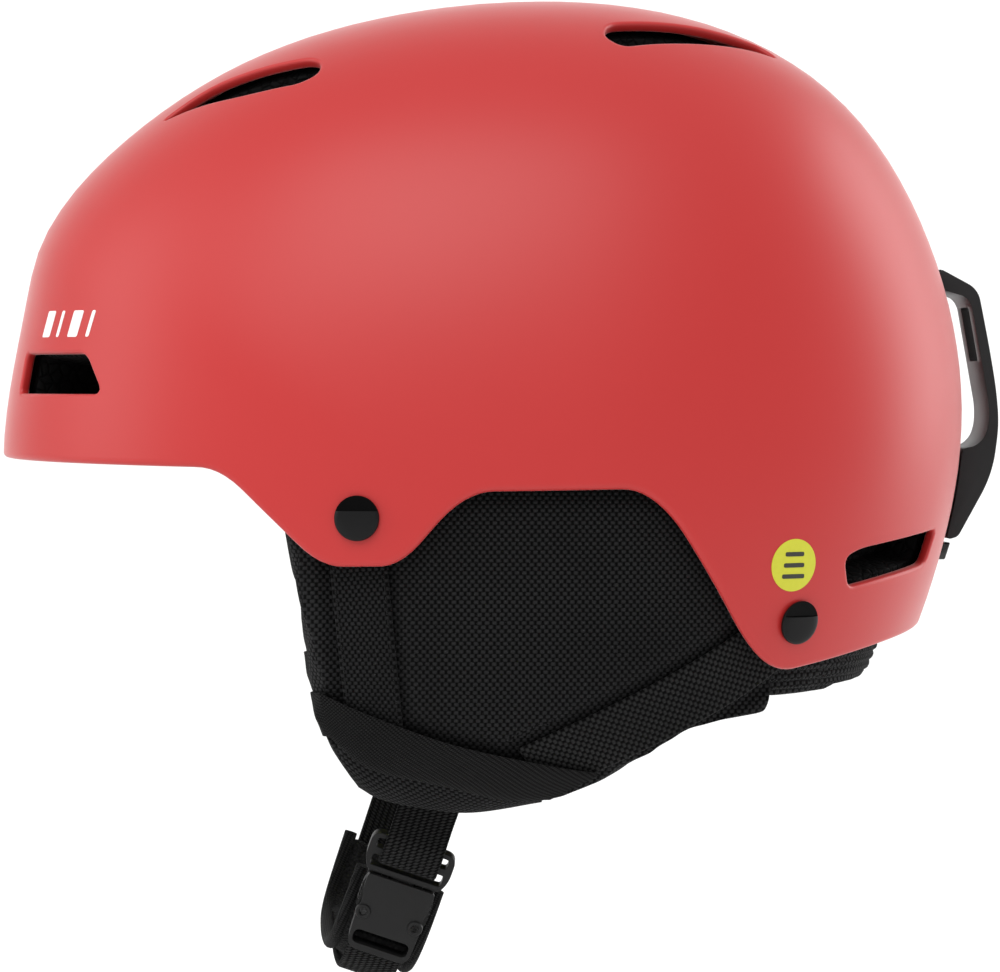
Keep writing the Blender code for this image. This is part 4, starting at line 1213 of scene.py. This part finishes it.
for a, name in ((-7.5, "front"), (7.5, "rear")):
    ring = ((1.15, -0.6), (1.15, 0.45), (1.3, 0.62), (1.6, 0.7), (1.95, 0.62), (2.1, 0.4), (2.15, -0.6))
    boss = lathe(f"buckle_boss_{name}", ring, leg_point(a, 30.9, 3.0), LEG_OUT, BUCKLE_BLACK, 40, True)
    pit = lathe(f"buckle_pit_{name}", ((1.2, 0.0), (0, 0.0), (0, 0.06), (1.2, 0.06)),
                leg_point(a, 30.9, 2.99), LEG_OUT, CATCH_BLACK, 24)
    for piece in (boss, pit):
        attach(piece, "right_strap", "buckle_plastic")

outline = rounded([(-12, 8.2), (12, 8.2), (12, 15.6), (10.4, 19.4), (-10.4, 19.4), (-12, 15.6)],
                  (3.0, 3.0, 3.5, 1.5, 1.5, 3.5), 0.8)
plug = leg_prism("ladder_frame", outline, -2.05, 2.05, BUCKLE_BLACK)
carve(plug, [leg_prism("cut", rounded([(-10.2, top), (10.2, top), (10.2, foot), (-10.2, foot)], 0.8, 0.6),
                       -5, 5) for top, foot in ((9.6, 12.4), (14.4, 17.7))])
soften(plug, 0.55, 3, 30.0)
attach(plug, "left_strap", "buckle_plastic", "buckle_plug")
bar = rounded([(-3.2, 18.6), (3.2, 18.6), (3.2, 27.4), (-3.2, 27.4)], 0.8, 0.8)
tongue = leg_prism("buckle_tongue", bar, -1.2, 1.2, BUCKLE_BLACK)
soften(tongue, 0.3, 2, 30.0)
attach(tongue, "left_strap", "buckle_plastic")
for sign, word in ((-1, "front"), (1, "rear")):
    shape = [(7.9, 20.9), (9.2, 20.7), (10.0, 22.5), (10.2, 26.0), (10.0, 29.6), (9.2, 31.4), (7.9, 31.4)]
    shape = rounded([(a * sign, d) for a, d in shape], 1.2, 0.6)
    tab = leg_prism(f"release_button_{word}", shape, -1.35, 1.35, BUCKLE_BLACK)
    low, high = sorted((9.75 * sign, 11 * sign))
    grooves = [leg_box(low, high, d, d + 0.55, -2, 2) for d in (23.6, 25.2, 26.8, 28.4)]
    carve(tab, grooves)
    soften(tab, 0.18, 2, 40.0)
    attach(tab, f"release_tab_{word}", "buckle_plastic", f"release_tab_{word}")


# ------------------------------------------------------------ goggle clip
CLIP_HALF = 12.5
CATCH_HALF = 9.0
CLIP_PIN = (127.0, 50.5)


def clip_circle(x, radius, sides):
    """Circle about the clip's pin in the plane across x."""
    return [(x, CLIP_PIN[0] + radius * math.cos(t), CLIP_PIN[1] + radius * math.sin(t))
            for t in np.linspace(0, math.tau, sides, endpoint=False)]


lower = [back_point(0, z, -0.9) for z in (-24.2, -16, -8, 2)]
outline = [(129.8, 54.0), (140.2, 48.4), (142.0, 46.0), (144.8, 32.0), (147.0, 19.0), (147.85, 9.0),
           (146.0, -5.3), (136.0, -23.4)]
outline += [(p[1], p[2]) for p in lower]
outline += [(141.0, 2.6), (143.8, 5.2), (144.9, 9.0), (145.0, 14.0), (142.67, 27.0), (139.8, 43.0),
            (138.2, 45.4), (130.9, 47.6)]
reach = [2.4, 2.2, 2.2, 8, 8, 7, 9, 1.2, 1, 6, 6, 1.5, 2.5, 3, 3, 8, 8, 2.6, 1.8, 2]
outline = rounded(outline, reach, 0.9)
body = prism("clip_body", [(-CLIP_HALF, y, z) for y, z in outline], (2 * CLIP_HALF, 0, 0), CLIP_BLACK)
barrel = prism("cut", clip_circle(-CLIP_HALF, 3.2, 36), (2 * CLIP_HALF, 0, 0), CLIP_BLACK)
carve(body, [barrel], "UNION")
window = rounded([(-6.5, 27), (6.5, 27), (6.5, 42.5), (-6.5, 42.5)], 1.2, 0.8)
bore = prism("cut", clip_circle(-20, 1.5, 24), (40, 0, 0))
carve(body, [prism("cut", [(x, 132, z) for x, z in window], (0, 18, 0)), bore])
soften(body, 0.55, 3, 32.0)
attach(body, "goggle_clip", "clip_plastic", "goggle_clip")

seat = [back_point(0, z, -0.4) for z in (-30.0, -25.3)]
corners = [(p[1], p[2]) for p in seat] + [(134.5, -25.1), (132.9, -30.0)]
catch = prism("clip_keeper", [(-CATCH_HALF, y, z) for y, z in corners], (2 * CATCH_HALF, 0, 0), CATCH_BLACK)
soften(catch, 0.45, 3, 30.0)
attach(catch, "helmet", "catch_plastic", "clip_catch")


# ---------------------------------------------------- marks on the shell
def decal(name, outline, lift, place, look, rows=6):
    """Thin film on the shell: flat outline filled, laid on the form by a placing function."""
    outline = np.asarray(outline, float)
    spots = [Vector(p) for p in outline]
    low, high = outline.min(0), outline.max(0)
    step = max((high - low).min() / rows, 0.5)
    xs, ys = np.meshgrid(np.arange(low[0], high[0], step), np.arange(low[1], high[1], step))
    grid = np.stack([xs.ravel(), ys.ravel()], -1)
    gap = np.sqrt(((grid[:, None] - outline[None]) ** 2).sum(-1)).min(1)
    grid = grid[inside_loop(grid, outline) & (gap > step * 0.45)]
    count = len(outline)
    rim = [(i, (i + 1) % count) for i in range(count)]
    made = delaunay_2d_cdt(spots + [Vector(p) for p in grid], rim, [], 0, 1e-9)
    flat = np.array([tuple(v) for v in made[0]])
    faces = [f for f in made[2] if inside_loop(flat[list(f)].mean(0)[None], outline)[0]]
    top = place(flat, -lift)
    under_ = place(flat, 0.05)
    total = len(flat)
    uses = {}
    for f in faces:
        for a, b in zip(f, f[1:] + f[:1]):
            uses[frozenset((a, b))] = uses.get(frozenset((a, b)), 0) + 1
    rim = [tuple(e) for e, n in uses.items() if n == 1]
    walls = [(a, b, total + b, total + a) for a, b in rim]
    both = [tuple(f) for f in faces] + [tuple(total + i for i in reversed(f)) for f in faces] + walls
    piece = make(name, np.vstack([top, under_]), both, look, 40.0)
    attach(piece, "helmet", "shell_red")
    return piece


def side_frame(y, z, side=1):
    """Placing function about a spot on the side: flat (right, up) offsets laid square on the surface."""
    seat = side_point(y, z, 0.0, side)
    axis = normals(seat[None])[0]
    up = unit(np.array((0.0, 0.0, 1.0)) - axis * axis[2])
    right = np.cross(up, axis)

    def place(flat, inset):
        start = seat + right * flat[:, :1] + up * flat[:, 1:2]
        return settle(start, np.broadcast_to(axis, start.shape), inset)
    return place


disc = [(7.1 * math.cos(t), 7.1 * math.sin(t)) for t in np.linspace(0, math.tau, 72, endpoint=False)]
spot = side_frame(78.0, -27.7)
decal("round_sticker", disc, 0.10, spot, STICKER)
for k, (low, high) in enumerate(((-3.6, -2.4), (-0.6, 0.6), (2.4, 3.6))):
    half = 3.6 - 0.3 * k
    bar = rounded([(-half, low), (half, low), (half, high), (-half, high)], 0.45, 0.35)
    decal(f"sticker_bar_{k}", bar, 0.16, spot, STICKER_INK, 4)


for k in range(4):
    left = 42.6 + 7.3 * k
    slant = 1.8
    start, end = (left + 1.2, left + 2.6) if k % 2 == 1 else (left, left + 4.6)
    shape = rounded([(start, 33.4), (end, 33.4), (end + slant, 40.6), (start + slant, 40.6)], 0.5, 0.5)
    decal(f"front_bar_{k}", shape, 0.08, front_frame, MARK_WHITE)


# ----------------------------------------- CAD pieces that stay as they are
KEPT = {"fit_cradle": FIT_BLACK, "fit_guide_left": FIT_BLACK, "fit_guide_right": FIT_BLACK,
        "clip_bracket": CLIP_BLACK, "clip_pin": STEEL}
for where in ("front", "rear"):
    KEPT.update({f"anchor_nut_{where}_{word}": STEEL for word in SIDES})
KEPT.update({f"slip_anchor_{word}": RUBBER for word in ("front", "rear", "left", "right")})
for node, look in KEPT.items():
    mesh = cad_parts[node].data
    mesh.materials.clear()
    mesh.materials.append(look)


# ------------------------------------------------- floor, light and camera
def stage_look():
    look = Look("floor", (0.93, 0.93, 0.93), 0.9)
    look.colour(look.noise(3.0, 2.0), (0.92, 0.92, 0.92), (0.94, 0.94, 0.94))
    return look.material


FLOOR_DROP = 75.0
low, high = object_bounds()
floor_height = low.z / MM - FLOOR_DROP
profile = [(-2600, 0), (1500, 0), (1900, 60), (2150, 220), (2300, 480), (2350, 900), (2350, 3000)]
rows = []
for far, up in profile:
    rows.append([(-far, across, floor_height + up) for across in np.linspace(-4000, 4000, 3)])
grid = np.array(rows)
faces = [(r * 3 + c, r * 3 + c + 1, (r + 1) * 3 + c + 1, (r + 1) * 3 + c)
         for r in range(len(rows) - 1) for c in range(2)]
floor = make("floor", grid.reshape(-1, 3), faces, stage_look())


def lamp(name, spot, aim, size, power):
    light = bpy.data.lights.new(name, "AREA")
    light.shape = "RECTANGLE"
    light.size, light.size_y = size
    light.energy = power
    made = bpy.data.objects.new(name, light)
    made.location = spot
    made.rotation_euler = (Vector(aim) - Vector(spot)).to_track_quat("-Z", "Y").to_euler()
    bpy.context.scene.collection.objects.link(made)


lamp("key", (1.5, -0.5, 1.9), (0, 0, 0), (1.7, 1.7), 36)
lamp("back_left", (-0.7, 1.9, 0.7), (0, 0, 0), (1.2, 1.8), 26)
lamp("front_left", (0.2, -1.9, 0.8), (0, 0, 0), (1.2, 1.8), 16)

world = bpy.data.worlds.new("studio")
bpy.context.scene.world = world
world.use_nodes = True
world.node_tree.nodes["Background"].inputs[0].default_value = (1, 1, 1, 1)
world.node_tree.nodes["Background"].inputs[1].default_value = 0.72
bpy.context.scene.view_settings.view_transform = "Standard"

camera = bpy.data.cameras.new("camera")
camera.sensor_width = 36.0
CAMERA_DISTANCE = 1.2
FRAME_WIDTH = 0.2878
camera.lens = CAMERA_DISTANCE * camera.sensor_width / FRAME_WIDTH
eye = bpy.data.objects.new("camera", camera)
azimuth, elevation = math.radians(86.5), math.radians(1.5)
aim = Vector((0.0, 0.0052, -0.0089))
back = Vector((math.sin(azimuth) * math.cos(elevation), -math.cos(azimuth) * math.cos(elevation),
               math.sin(elevation)))
eye.location = aim + back * CAMERA_DISTANCE
eye.rotation_mode = "QUATERNION"
eye.rotation_quaternion = (-back).to_track_quat("-Z", "Y")
camera.clip_start, camera.clip_end = 0.05, 50.0
bpy.context.scene.collection.objects.link(eye)
bpy.context.scene.camera = eye
